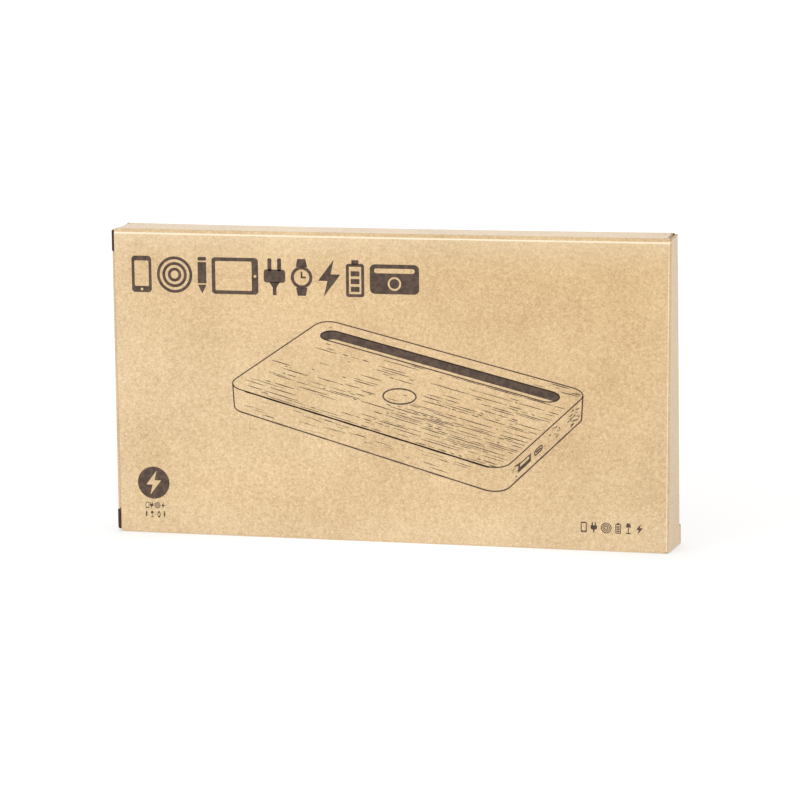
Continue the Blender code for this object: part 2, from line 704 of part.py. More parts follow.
def mark_cutter(frame):
    """A thin ring for the engraved mark."""
    bm = bmesh.new()
    rings = []
    for radius, height in (
        (MARK_RADIUS - MARK_LINE / 2, CHARGER_THICKNESS - MARK_DEPTH),
        (MARK_RADIUS + MARK_LINE / 2, CHARGER_THICKNESS - MARK_DEPTH),
        (MARK_RADIUS + MARK_LINE / 2, CHARGER_THICKNESS + OVERRUN),
        (MARK_RADIUS - MARK_LINE / 2, CHARGER_THICKNESS + OVERRUN),
    ):
        rings.append([bm.verts.new((x, y, height)) for x, y in round_outline((COIL_X, COIL_Y), radius, MARK_STEPS)])
    for ring, following in zip(rings, rings[1:] + rings[:1]):
        for index, vertex in enumerate(ring):
            after = (index + 1) % MARK_STEPS
            bm.faces.new((vertex, ring[after], following[after], following[index]))
    bmesh.ops.recalc_face_normals(bm, faces=bm.faces)
    return add_object("mark_cutter", mesh_from(bm, "mark_cutter"), parent=frame)


def along_end(name, outline, left, right, made_of, frame):
    """A solid with an outline in the plane of the charger's end face, from x left to x right."""
    bm = bmesh.new()
    near = [bm.verts.new((left, y, z)) for y, z in outline]
    far = [bm.verts.new((right, y, z)) for y, z in outline]
    for index, vertex in enumerate(near):
        following = (index + 1) % len(near)
        bm.faces.new((vertex, near[following], far[following], far[index]))
    bm.faces.new(list(reversed(near)))
    bm.faces.new(far)
    bmesh.ops.recalc_face_normals(bm, faces=bm.faces)
    return add_object(name, mesh_from(bm, name, SMOOTH_ANGLE), made_of, frame)


def port_outline(middle, width, height, grow, round_ends):
    """A port's outline in the end face, grown all round by a distance."""
    centre = (middle, PART_SEAT + height / 2)
    if round_ends:
        return stadium(centre, width + 2 * grow, height + 2 * grow, PORT_END_STEPS)
    half_width = width / 2 + grow
    half_height = height / 2 + grow
    low = (centre[0] - half_width, centre[1] - half_height)
    high = (centre[0] + half_width, centre[1] + half_height)
    return [(high[0], high[1]), (low[0], high[1]), (low[0], low[1]), (high[0], low[1])]


def screw_places():
    """The cover screws' x and y, at its corners."""
    left = COVER_SIDE_MARGIN + SCREW_INSET
    right = CHARGER_LENGTH - left
    front = COVER_FRONT_MARGIN + SCREW_INSET
    rear = CHARGER_WIDTH - COVER_REAR_MARGIN - SCREW_INSET
    return [(left, front), (right, front), (left, rear), (right, rear)]


def foot_places():
    """The feet's x and y: two on the cover, two on the wood behind it."""
    left = FOOT_END_INSET
    right = CHARGER_LENGTH - FOOT_END_INSET
    rear = CHARGER_WIDTH - FOOT_REAR_INSET
    return [(left, FOOT_FRONT_INSET), (right, FOOT_FRONT_INSET), (left, rear), (right, rear)]


def board_screw_places():
    """The two screws that hold the circuit board, at opposite corners of its free half."""
    left = PCB_LEFT + BOSS_INSET
    return [(left, PCB_FRONT + BOSS_INSET), (PCB_RIGHT - BOSS_INSET, PCB_FRONT + PCB_WIDTH - BOSS_INSET)]


def make_body(frame):
    """The wooden slab, cut for slot, mark, hollow, cover, ports, screws and rear feet."""
    outline = rounded_outline((0.0, 0.0), (CHARGER_LENGTH, CHARGER_WIDTH), CHARGER_CORNER_RADIUS, CORNER_STEPS)
    body = loft("charger_body", [(outline, 0.0), (outline, CHARGER_THICKNESS)], WOOD, frame)
    rounding = body.modifiers.new("edges", "BEVEL")
    rounding.width = CHARGER_EDGE_RADIUS
    rounding.segments = 2
    rounding.limit_method = "ANGLE"
    rounding.angle_limit = math.radians(60)
    cut(body, slot_cutter(frame))
    cut(body, mark_cutter(frame))
    low = (HOLLOW_LEFT_WALL, HOLLOW_FRONT_WALL)
    high = (CHARGER_LENGTH - HOLLOW_RIGHT_WALL, HOLLOW_REAR)
    hollow = rounded_outline(low, high, HOLLOW_CORNER_RADIUS, FOLD_STEPS)
    cut(body, loft("hollow_cutter", [(hollow, -OVERRUN), (hollow, ROOF)], parent=frame))
    recess = cover_outline(0.0)
    cut(body, loft("recess_cutter", [(recess, -OVERRUN), (recess, COVER_RECESS)], parent=frame))
    right = CHARGER_LENGTH + OVERRUN
    for name, middle, width, height, depth, round_ends in (
        ("usb_a_cutter", USB_A_FROM_FRONT, USB_A_WIDTH, USB_A_HEIGHT, USB_A_DEPTH, False),
        ("usb_c_cutter", USB_C_FROM_FRONT, USB_C_WIDTH, USB_C_HEIGHT, USB_C_DEPTH, True),
    ):
        mouth = port_outline(middle, width, height, PIECE_GAP, round_ends)
        left = PORT_FACE - depth - PIECE_GAP
        cut(body, along_end(name, mouth, left, right, None, frame))
    radius = SCREW_SHANK_RADIUS + PIECE_GAP
    for number, place in enumerate(screw_places(), start=1):
        pilot = round_outline(place, radius, SCREW_SIDES)
        top = SCREW_SINK + SCREW_LENGTH + PIECE_GAP
        cut(body, loft("pilot_cutter_%d" % number, [(pilot, -OVERRUN), (pilot, top)], parent=frame))
    for number, place in enumerate(foot_places()[2:], start=1):
        seat = round_outline(place, FOOT_RADIUS + PIECE_GAP, FOOT_SIDES)
        top = FOOT_RECESS + PIECE_GAP
        cut(body, loft("rear_seat_cutter_%d" % number, [(seat, -OVERRUN), (seat, top)], parent=frame))


def cover_outline(shrink):
    """The outline of the cover's recess, or of the cover when shrunk by the gap round it."""
    low = (COVER_SIDE_MARGIN + shrink, COVER_FRONT_MARGIN + shrink)
    high = (CHARGER_LENGTH - COVER_SIDE_MARGIN - shrink, CHARGER_WIDTH - COVER_REAR_MARGIN - shrink)
    return rounded_outline(low, high, COVER_CORNER_RADIUS, CORNER_STEPS)


def make_cover(frame):
    """The base plate with bosses for the circuit board, countersunk holes and seats for the front feet."""
    outline = cover_outline(PIECE_GAP)
    cover = loft("base_cover", [(outline, 0.0), (outline, COVER_THICKNESS)], PLASTIC, frame)
    shaft = BOARD_SCREW_SHANK_RADIUS + PIECE_GAP
    for number, place in enumerate(board_screw_places(), start=1):
        ring = round_outline(place, BOSS_RADIUS, SCREW_SIDES)
        low = COVER_THICKNESS - OVERRUN
        boss = loft("boss_%d" % number, [(ring, low), (ring, COVER_THICKNESS + BOSS_HEIGHT)], parent=frame)
        joined = cover.modifiers.new(boss.name, "BOOLEAN")
        joined.operation = "UNION"
        joined.solver = "EXACT"
        joined.object = hide_cutter(boss)
        hole = round_outline(place, shaft, SCREW_SIDES)
        top = PCB_UNDERSIDE
        cut(cover, loft("boss_hole_cutter_%d" % number, [(hole, BOARD_SCREW_FLOOR), (hole, top)], parent=frame))
    head = SCREW_HEAD_RADIUS + PIECE_GAP
    shank = SCREW_SHANK_RADIUS + PIECE_GAP
    for number, place in enumerate(screw_places(), start=1):
        layers = [
            (round_outline(place, head, SCREW_SIDES), -OVERRUN),
            (round_outline(place, head, SCREW_SIDES), SCREW_SINK),
            (round_outline(place, shank, SCREW_SIDES), SCREW_SINK + SCREW_HEAD_HEIGHT),
            (round_outline(place, shank, SCREW_SIDES), COVER_THICKNESS + OVERRUN),
        ]
        cut(cover, loft("countersink_cutter_%d" % number, layers, parent=frame))
    for number, place in enumerate(foot_places()[:2], start=1):
        seat = round_outline(place, FOOT_RADIUS + PIECE_GAP, FOOT_SIDES)
        top = FOOT_RECESS + PIECE_GAP
        cut(cover, loft("front_seat_cutter_%d" % number, [(seat, -OVERRUN), (seat, top)], parent=frame))


def make_cover_screws(frame):
    """Four countersunk wood screws, heads down."""
    profile = (
        (SCREW_HEAD_RADIUS, 0.0),
        (SCREW_SHANK_RADIUS, SCREW_HEAD_HEIGHT),
        (SCREW_SHANK_RADIUS, SCREW_LENGTH - SCREW_POINT),
        (SCREW_SHANK_RADIUS / 3, SCREW_LENGTH),
    )
    for number, place in enumerate(screw_places(), start=1):
        screw = turned("cover_screw_%d" % number, profile, SCREW_SIDES, STEEL, frame)
        screw.location = (place[0], place[1], SCREW_SINK)


def make_feet(frame):
    """Four rubber feet, each sunk a little into its seat."""
    low = FOOT_RECESS - FOOT_HEIGHT
    profile = (
        (FOOT_RADIUS - FOOT_EDGE_RADIUS, low),
        (FOOT_RADIUS, low + FOOT_EDGE_RADIUS),
        (FOOT_RADIUS, FOOT_RECESS),
    )
    for number, place in enumerate(foot_places(), start=1):
        foot = turned("rubber_foot_%d" % number, profile, FOOT_SIDES, RUBBER, frame)
        foot.location = (place[0], place[1], 0.0)


def make_circuit_board(frame):
    """The board with its two screw holes."""
    low = (PCB_LEFT, PCB_FRONT)
    high = (PCB_RIGHT, PCB_FRONT + PCB_WIDTH)
    outline = rounded_outline(low, high, PCB_CORNER_RADIUS, 2)
    board = loft("circuit_board", [(outline, PCB_UNDERSIDE), (outline, PCB_TOP)], LAMINATE, frame)
    radius = BOARD_SCREW_SHANK_RADIUS + PIECE_GAP
    for number, place in enumerate(board_screw_places(), start=1):
        hole = round_outline(place, radius, SCREW_SIDES)
        layers = [(hole, PCB_UNDERSIDE - OVERRUN), (hole, PCB_TOP + OVERRUN)]
        cut(board, loft("board_hole_cutter_%d" % number, layers, parent=frame))


def make_board_screws(frame):
    """Two small screws through the circuit board into the cover's bosses."""
    top = PART_SEAT + BOARD_SCREW_HEAD_HEIGHT
    profile = (
        (BOARD_SCREW_SHANK_RADIUS, PART_SEAT - BOARD_SCREW_LENGTH),
        (BOARD_SCREW_SHANK_RADIUS, PART_SEAT),
        (BOARD_SCREW_HEAD_RADIUS, PART_SEAT),
        (BOARD_SCREW_HEAD_RADIUS, top - BOARD_SCREW_HEAD_HEIGHT / 2),
        (BOARD_SCREW_HEAD_RADIUS / 2, top),
    )
    for number, place in enumerate(board_screw_places(), start=1):
        screw = turned("board_screw_%d" % number, profile, SCREW_SIDES, STEEL, frame)
        screw.location = (place[0], place[1], 0.0)


def make_port(name, middle, width, height, depth, wall, round_ends, frame):
    """A metal shell, open at the charger's end face and closed at its back."""
    left = PORT_FACE - depth
    outline = port_outline(middle, width, height, 0.0, round_ends)
    shell = along_end(name, outline, left, PORT_FACE, STEEL, frame)
    bore = port_outline(middle, width, height, -wall, round_ends)
    cut(shell, along_end(name + "_cutter", bore, left + PORT_BACK_WALL, PORT_FACE + OVERRUN, None, frame))


def make_port_insert(name, middle, height, left, base_outline, base, tongue, length, material, frame):
    """The plastic inside a port: a base at the back that carries a tongue (width, height, rise)."""
    insert = along_end(name, base_outline, left, left + base, material, frame)
    half = tongue[0] / 2
    low = PART_SEAT + height / 2 + tongue[2] - tongue[1] / 2
    high = low + tongue[1]
    outline = [(middle + half, high), (middle - half, high), (middle - half, low), (middle + half, low)]
    blade = along_end(name + "_tongue", outline, left + base / 2, left + base + length, None, frame)
    joined = insert.modifiers.new("tongue", "BOOLEAN")
    joined.operation = "UNION"
    joined.solver = "EXACT"
    joined.object = hide_cutter(blade)


def make_ports(frame):
    """The USB-A and the USB-C socket."""
    make_port(
        "usb_a_shell", USB_A_FROM_FRONT, USB_A_WIDTH, USB_A_HEIGHT, USB_A_DEPTH, USB_A_WALL, False, frame
    )
    make_port(
        "usb_c_shell", USB_C_FROM_FRONT, USB_C_WIDTH, USB_C_HEIGHT, USB_C_DEPTH, USB_C_WALL, True, frame
    )
    left = PORT_FACE - USB_A_DEPTH + PORT_BACK_WALL + PIECE_GAP
    outline = port_outline(USB_A_FROM_FRONT, USB_A_WIDTH, USB_A_HEIGHT, -USB_A_WALL - PIECE_GAP, False)
    rise = USB_A_TONGUE_HEIGHT / 2
    tongue = (USB_A_TONGUE_WIDTH, USB_A_TONGUE_HEIGHT, rise)
    make_port_insert(
        "usb_a_insert",
        USB_A_FROM_FRONT,
        USB_A_HEIGHT,
        left,
        outline,
        USB_A_INSERT_BASE,
        tongue,
        USB_A_TONGUE_LENGTH,
        PORCELAIN,
        frame,
    )
    left = PORT_FACE - USB_C_DEPTH + PORT_BACK_WALL + PIECE_GAP
    outline = port_outline(USB_C_FROM_FRONT, USB_C_WIDTH, USB_C_HEIGHT, -USB_C_WALL - PIECE_GAP, True)
    tongue = (USB_C_TONGUE_WIDTH, USB_C_TONGUE_HEIGHT, 0.0)
    make_port_insert(
        "usb_c_insert",
        USB_C_FROM_FRONT,
        USB_C_HEIGHT,
        left,
        outline,
        USB_C_INSERT_BASE,
        tongue,
        USB_C_TONGUE_LENGTH,
        PLASTIC,
        frame,
    )


def make_board_part(name, size, place_shares, bevel, made_of, frame):
    """A part soldered on the circuit board, placed by shares of its length and width."""
    x = PCB_LEFT + PCB_LENGTH * place_shares[0]
    y = PCB_FRONT + PCB_WIDTH * place_shares[1]
    low = (x - size[0] / 2, y - size[1] / 2, PART_SEAT)
    high = (x + size[0] / 2, y + size[1] / 2, PART_SEAT + size[2])
    return block(name, low, high, bevel, made_of, frame)


def make_board_parts(frame):
    """Controller, bridge, resonance capacitors and the inductor."""
    make_board_part("controller_chip", CHIP_SIZE, CHIP_PLACE_SHARES, 0.0, EPOXY, frame)
    for number, shares in enumerate(BRIDGE_PLACE_SHARES, start=1):
        make_board_part("bridge_chip_%d" % number, BRIDGE_SIZE, shares, PACKAGE_BEVEL, EPOXY, frame)
    for number, shares in enumerate(CAPACITOR_PLACE_SHARES, start=1):
        name = "resonance_capacitor_%d" % number
        make_board_part(name, CAPACITOR_SIZE, shares, PACKAGE_BEVEL, CERAMIC, frame)
    make_board_part("power_inductor", INDUCTOR_SIZE, INDUCTOR_PLACE_SHARES, INDUCTOR_BEVEL, EPOXY, frame)


def smooth_route(points, spacing):
    """Points about a spacing apart on a smooth curve through the given ones."""
    route = []
    padded = [2 * points[0] - points[1]] + points + [2 * points[-1] - points[-2]]
    for a, b, c, d in zip(padded, padded[1:], padded[2:], padded[3:]):
        steps = max(1, round((c - b).length / spacing))
        for step in range(steps):
            t = step / steps
            route.append(
                0.5 * (2 * b + (c - a) * t + (2 * a - 5 * b + 4 * c - d) * t * t + (3 * b - a - 3 * c + d) * t**3)
            )
    route.append(points[-1])
    return route


def coil_route():
    """The wire's middle line: a lead from the board, the turns inward, and a lead back under them."""
    outer = COIL_INNER_RADIUS + COIL_TURNS * COIL_PITCH
    edge = COIL_X + FERRITE_RADIUS + LEAD_LENGTH_BEYOND
    pad_x = PCB_LEFT + LEAD_PAD_REACH
    pad_z = PART_SEAT + WIRE_RADIUS
    low_z = COIL_Z - LEAD_DROP
    spiral = []
    total = COIL_TURNS * COIL_POINTS_PER_TURN
    for step in range(total + 1):
        angle = math.pi / 2 + 2 * math.pi * step / COIL_POINTS_PER_TURN
        radius = outer - COIL_PITCH * step / COIL_POINTS_PER_TURN
        spiral.append(Vector((COIL_X + radius * math.cos(angle), COIL_Y + radius * math.sin(angle), COIL_Z)))
    entry = [
        Vector((pad_x, COIL_Y + LEAD_SPREAD, pad_z)),
        Vector((edge + LEAD_LENGTH_BEYOND, COIL_Y + LEAD_SPREAD, (low_z + pad_z) / 2)),
        Vector((edge, COIL_Y + outer * math.sin(CREASE_ANGLE), (COIL_Z + low_z) / 2)),
        Vector((COIL_X + outer / 2, COIL_Y + outer, COIL_Z)),
        spiral[0],
    ]
    loop = LEAD_LOOP_RADIUS
    exit_route = [
        spiral[-1],
        Vector((COIL_X - loop, COIL_Y + COIL_INNER_RADIUS - loop / 2, COIL_Z)),
        Vector((COIL_X - 2 * loop, COIL_Y + loop, COIL_Z)),
        Vector((COIL_X - 3 * loop / 2, COIL_Y, COIL_Z - LEAD_DROP / 4)),
        Vector((COIL_X, COIL_Y, low_z)),
        Vector((COIL_X + COIL_INNER_RADIUS, COIL_Y, low_z)),
        Vector((COIL_X + outer, COIL_Y, low_z)),
        Vector((COIL_X + FERRITE_RADIUS, COIL_Y, low_z)),
        Vector((edge, COIL_Y, (low_z + pad_z) / 2)),
        Vector((pad_x, COIL_Y, pad_z)),
    ]
    head = smooth_route(entry, LEAD_POINT_SPACING)[:-1]
    tail = smooth_route(exit_route, LEAD_POINT_SPACING)[1:]
    return head + spiral + tail


def least_self_gap(route, radius):
    """The least clear distance between stretches of a tube that aren't neighbours along it."""
    points = np.array([tuple(point) for point in route])
    steps = np.linalg.norm(np.diff(points, axis=0), axis=1)
    run = np.concatenate(([0.0], np.cumsum(steps)))
    apart = np.linalg.norm(points[:, None] - points[None], axis=2)
    along = np.abs(run[:, None] - run[None])
    far = along > 6 * radius
    return float(apart[far].min() - 2 * radius)


def make_coil(frame):
    """The charging coil: one unbroken wire from pad to pad."""
    route = coil_route()
    gap = least_self_gap(route, WIRE_RADIUS)
    print("coil: least gap to itself %.2f mm, asked for over %.2f mm" % (gap * 1000, WIRE_LEAST_GAP * 1000))
    curve = bpy.data.curves.new("charging_coil", "CURVE")
    curve.dimensions = "3D"
    curve.bevel_depth = WIRE_RADIUS
    curve.bevel_resolution = 1
    curve.use_fill_caps = True
    curve.twist_mode = "Z_UP"
    spline = curve.splines.new("POLY")
    spline.points.add(len(route) - 1)
    for target, point in zip(spline.points, route):
        target.co = (*point, 1.0)
    add_object("charging_coil", curve, COPPER, frame)


def make_ferrite(frame):
    """A disc under the coil with a notch for the lead that comes out from the middle."""
    ring = round_outline((COIL_X, COIL_Y), FERRITE_RADIUS, FERRITE_SIDES)
    low = FERRITE_TOP - FERRITE_THICKNESS
    plate = loft("ferrite_plate", [(ring, low), (ring, FERRITE_TOP)], FERRITE, frame)
    back = COIL_X - COIL_INNER_RADIUS
    front = COIL_X + FERRITE_RADIUS + OVERRUN
    half = FERRITE_NOTCH / 2
    corners = ((back, COIL_Y - half), (front, COIL_Y + half))
    notch = rounded_outline(corners[0], corners[1], half / 2, FOLD_STEPS)
    layers = [(notch, low - OVERRUN), (notch, FERRITE_TOP + OVERRUN)]
    cut(plate, loft("notch_cutter", layers, parent=frame))


def make_pad(frame):
    """The foam disc between the cover and the ferrite."""
    ring = round_outline((COIL_X, COIL_Y), PAD_RADIUS, PAD_SIDES)
    top = FERRITE_TOP - FERRITE_THICKNESS - PIECE_GAP
    loft("foam_pad", [(ring, COVER_THICKNESS + PIECE_GAP), (ring, top)], FOAM, frame)


def make_charger():
    """The charger stands in the carton on its front edge, its top face behind the printed panel."""
    frame = bpy.data.objects.new("charger_frame", None)
    bpy.context.collection.objects.link(frame)
    frame.location = (CHARGER_LEFT, CHARGER_FACE + CHARGER_THICKNESS, CHARGER_FLOOR)
    frame.rotation_euler = (math.pi / 2, 0.0, 0.0)
    make_body(frame)
    make_cover(frame)
    make_cover_screws(frame)
    make_feet(frame)
    make_circuit_board(frame)
    make_board_screws(frame)
    make_ports(frame)
    make_board_parts(frame)
    make_coil(frame)
    make_ferrite(frame)
    make_pad(frame)


clear_scene()
KRAFT = make_material("kraft_board", (0.81, 0.59, 0.35), 0.9)
WOOD = make_material("bamboo", (0.72, 0.50, 0.28), 0.55)
PLASTIC = make_material("black_plastic", (0.03, 0.03, 0.03), 0.5)
PORCELAIN = make_material("white_plastic", (0.75, 0.75, 0.72), 0.45)
STEEL = make_material("steel", (0.62, 0.62, 0.60), 0.3, 1.0)
RUBBER = make_material("rubber", (0.04, 0.04, 0.04), 0.85)
LAMINATE = make_material("green_laminate", (0.03, 0.16, 0.06), 0.5)
EPOXY = make_material("black_epoxy", (0.02, 0.02, 0.02), 0.6)
CERAMIC = make_material("tan_ceramic", (0.45, 0.33, 0.20), 0.5)
COPPER = make_material("copper_wire", (0.78, 0.36, 0.18), 0.35, 1.0)
FERRITE = make_material("ferrite", (0.05, 0.05, 0.055), 0.7)
FOAM = make_material("foam", (0.10, 0.10, 0.10), 0.95)
make_carton()
make_charger()
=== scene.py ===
"""Looks of the wireless charger in its kraft carton: board sheets, print, finishes, light and camera.

The carton's nodes are replaced by finer sheets of the same board, which bend at their creases. The print on
the front is a line drawing of the charger with plain pictograms. The charger keeps its solids.

Lengths are metres. X runs along the carton, the printed front looks to -Y and Z is up.
"""
import math
import random
from collections import namedtuple

import bmesh
import bpy
from mathutils import Matrix, Vector
from mathutils.geometry import tessellate_polygon


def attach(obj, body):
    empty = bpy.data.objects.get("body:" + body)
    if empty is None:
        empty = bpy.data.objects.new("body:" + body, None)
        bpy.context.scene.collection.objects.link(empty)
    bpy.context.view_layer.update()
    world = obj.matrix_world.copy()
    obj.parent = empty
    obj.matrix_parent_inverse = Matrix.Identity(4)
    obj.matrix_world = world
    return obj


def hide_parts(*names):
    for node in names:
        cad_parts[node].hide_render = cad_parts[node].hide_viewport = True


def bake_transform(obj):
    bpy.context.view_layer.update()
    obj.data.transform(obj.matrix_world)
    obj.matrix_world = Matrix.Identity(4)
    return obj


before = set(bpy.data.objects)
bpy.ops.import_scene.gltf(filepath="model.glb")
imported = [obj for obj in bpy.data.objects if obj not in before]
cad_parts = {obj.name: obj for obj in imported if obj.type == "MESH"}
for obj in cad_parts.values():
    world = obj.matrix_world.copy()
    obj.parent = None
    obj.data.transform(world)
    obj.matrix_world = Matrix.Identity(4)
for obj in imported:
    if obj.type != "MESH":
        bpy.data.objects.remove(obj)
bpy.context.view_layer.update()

MM = 0.001

# Carton and its board, as the model has them
CARTON_LENGTH = 0.220
CARTON_DEPTH = 0.019
CARTON_HEIGHT = 0.122
BOARD = 0.001
HINGE_RADIUS = 0.0019
LAYER_GAP = 0.0003
CREASE_RELIEF = 0.0004
RAW_EDGE_SETBACK = 0.00065
TOP_SAG = 0.0004
SAG_FRONT_SHARE = 0.35
GLUE_FACE = 0.00115
GLUE_FLAP_WIDTH = 0.012
GLUE_FLAP_SETBACK = 0.0095
GLUE_FLAP_TAPER = 0.004
SEAM_SETBACK = 0.0008
CLOSURE_SIDE_GAP = 0.0004
SLIT_WIDTH = 0.0004
TUCK_GAP = 0.0008
TUCK_REACH = 0.0095
TUCK_SIDE_GAP = 0.002
TUCK_CORNER_RADIUS = 0.005
DUST_LENGTH = 0.012
DUST_TIP_LENGTH = 0.001
DUST_BACK_SETBACK = 0.0031
DUST_FRONT_TAPER = 0.0042
DUST_BACK_TAPER = 0.0022
DUST_TIP_CHAMFER = 0.0008
SPACER_TUCK_GAP = 0.001
SPACER_BEAM_HEIGHT = 0.01455
SPACER_BAY_LENGTH = 0.0357

# Finer than the model: crisp folds, score lines, corner ears, rounded raw edges and closures that stand out
FOLD_RADIUS = 0.0011
FOLD_STEPS = 15
SHEET_STATIONS = 24
SHEET_LEVELS = 8
CORNER_STEPS = 10
EDGE_ROUND = 0.00012
EDGE_ROUND_STEPS = 3
CREASE_TURN = math.radians(66.0)
CORNER_CUT = 0.00005
CORNER_EAR = 0.1093
CORNER_STUB = 0.1086
CORNER_CUT_LENGTH = 0.0048
CORNER_CUT_POWER = 2.0
FLUTE_PITCH = 0.0024
WEAR_REACH = 0.003
CREASE_FADE = 0.0022
BAND_STEPS = 8
PANEL_STEPS = 12
FLAP_STEPS = 6
DUST_STEPS = 4

# Along a closure's crease, from where its sheet starts: a pale line of painted highlight and then the score
# line, sunk and darkened with painted shade
HIGHLIGHT_RUN = 0.00095
HIGHLIGHT_HALF_WIDTH = 0.00034
HIGHLIGHT_SHARE = 0.55
SCORE_RUN = 0.00155
SCORE_HALF_WIDTH = 0.00028
SCORE_DEPTH = 0.00016

# Places on the flat stretch before a closure's fold, as shares of its length
CREASE_LEAD_SHARES = (0.0, 0.5, 0.75)

# The height at which a closure's crease begins, part of the way round the sleeve's lower front fold
CREASE_BOTTOM = FOLD_RADIUS * (1 - math.cos(CREASE_TURN))

# The front's top fold, down from the corner and back from it: a pale ledge and a strip above it
TOP_FOLD = (
    (0.00210, 0.00000),
    (0.00200, 0.00002),
    (0.00190, 0.00006),
    (0.00180, 0.00013),
    (0.00170, 0.00020),
    (0.00160, 0.00025),
    (0.00150, 0.00028),
    (0.00135, 0.00030),
    (0.00120, 0.00031),
    (0.00100, 0.00033),
    (0.00080, 0.00036),
    (CREASE_BOTTOM, 0.00040),
    (CREASE_BOTTOM - CORNER_CUT, 0.00042),
    (0.00055, 0.00044),
    (0.00042, 0.00048),
    (0.00025, 0.00059),
    (0.00012, 0.00073),
    (0.00004, 0.00089),
    (0.00000, 0.00110),
)
LEDGE_DROP = 0.00172
LEDGE_HALF_WIDTH = 0.00058

# How far round its fold, as the sine of the turn, a dust flap has its dark line of painted shade, and half
# the line's width
SHOULDER_SHADE_OUT = 0.68
SHOULDER_SHADE_HALF_WIDTH = 0.32

# Worked out from the sizes above
HALF_LENGTH = CARTON_LENGTH / 2
HALF_DEPTH = CARTON_DEPTH / 2
DUST_FACE = HALF_LENGTH - BOARD - LAYER_GAP
DUST_FRONT = -HALF_DEPTH + HINGE_RADIUS + CREASE_RELIEF
DUST_CREASE_FRONT = -HALF_DEPTH + FOLD_RADIUS + CREASE_RELIEF / 2
DUST_BACK = HALF_DEPTH - DUST_BACK_SETBACK
TUCK_FACE = HALF_DEPTH - BOARD - TUCK_GAP
CLOSURE_RAW_EDGE = HALF_DEPTH - BOARD - LAYER_GAP
CLOSURE_BOTTOM = CLOSURE_SIDE_GAP
CLOSURE_TOP = CARTON_HEIGHT - CLOSURE_SIDE_GAP
CREASE_TOP = CARTON_HEIGHT - CREASE_BOTTOM
BACK_CREASE_BOTTOM = FOLD_RADIUS + GLUE_FACE
CLOSURE_CENTRE = (HALF_LENGTH - HINGE_RADIUS, HINGE_RADIUS - HALF_DEPTH)
TUCK_CENTRE = (HALF_LENGTH - HINGE_RADIUS, TUCK_FACE - HINGE_RADIUS)
DUST_CENTRE = (DUST_FACE - HINGE_RADIUS, CARTON_HEIGHT - HINGE_RADIUS)
SPACER_REACH = HALF_LENGTH - TUCK_REACH - SPACER_TUCK_GAP
SPACER_PARTITION = SPACER_BAY_LENGTH - SPACER_REACH
SPACER_ROOF = CARTON_HEIGHT - BOARD - TOP_SAG - LAYER_GAP
SPACER_SHELF = SPACER_ROOF - SPACER_BEAM_HEIGHT
SPACER_FOOT = GLUE_FACE + BOARD + LAYER_GAP
TOLERANCE = 1e-6
SHARP_ANGLE = math.radians(50.0)


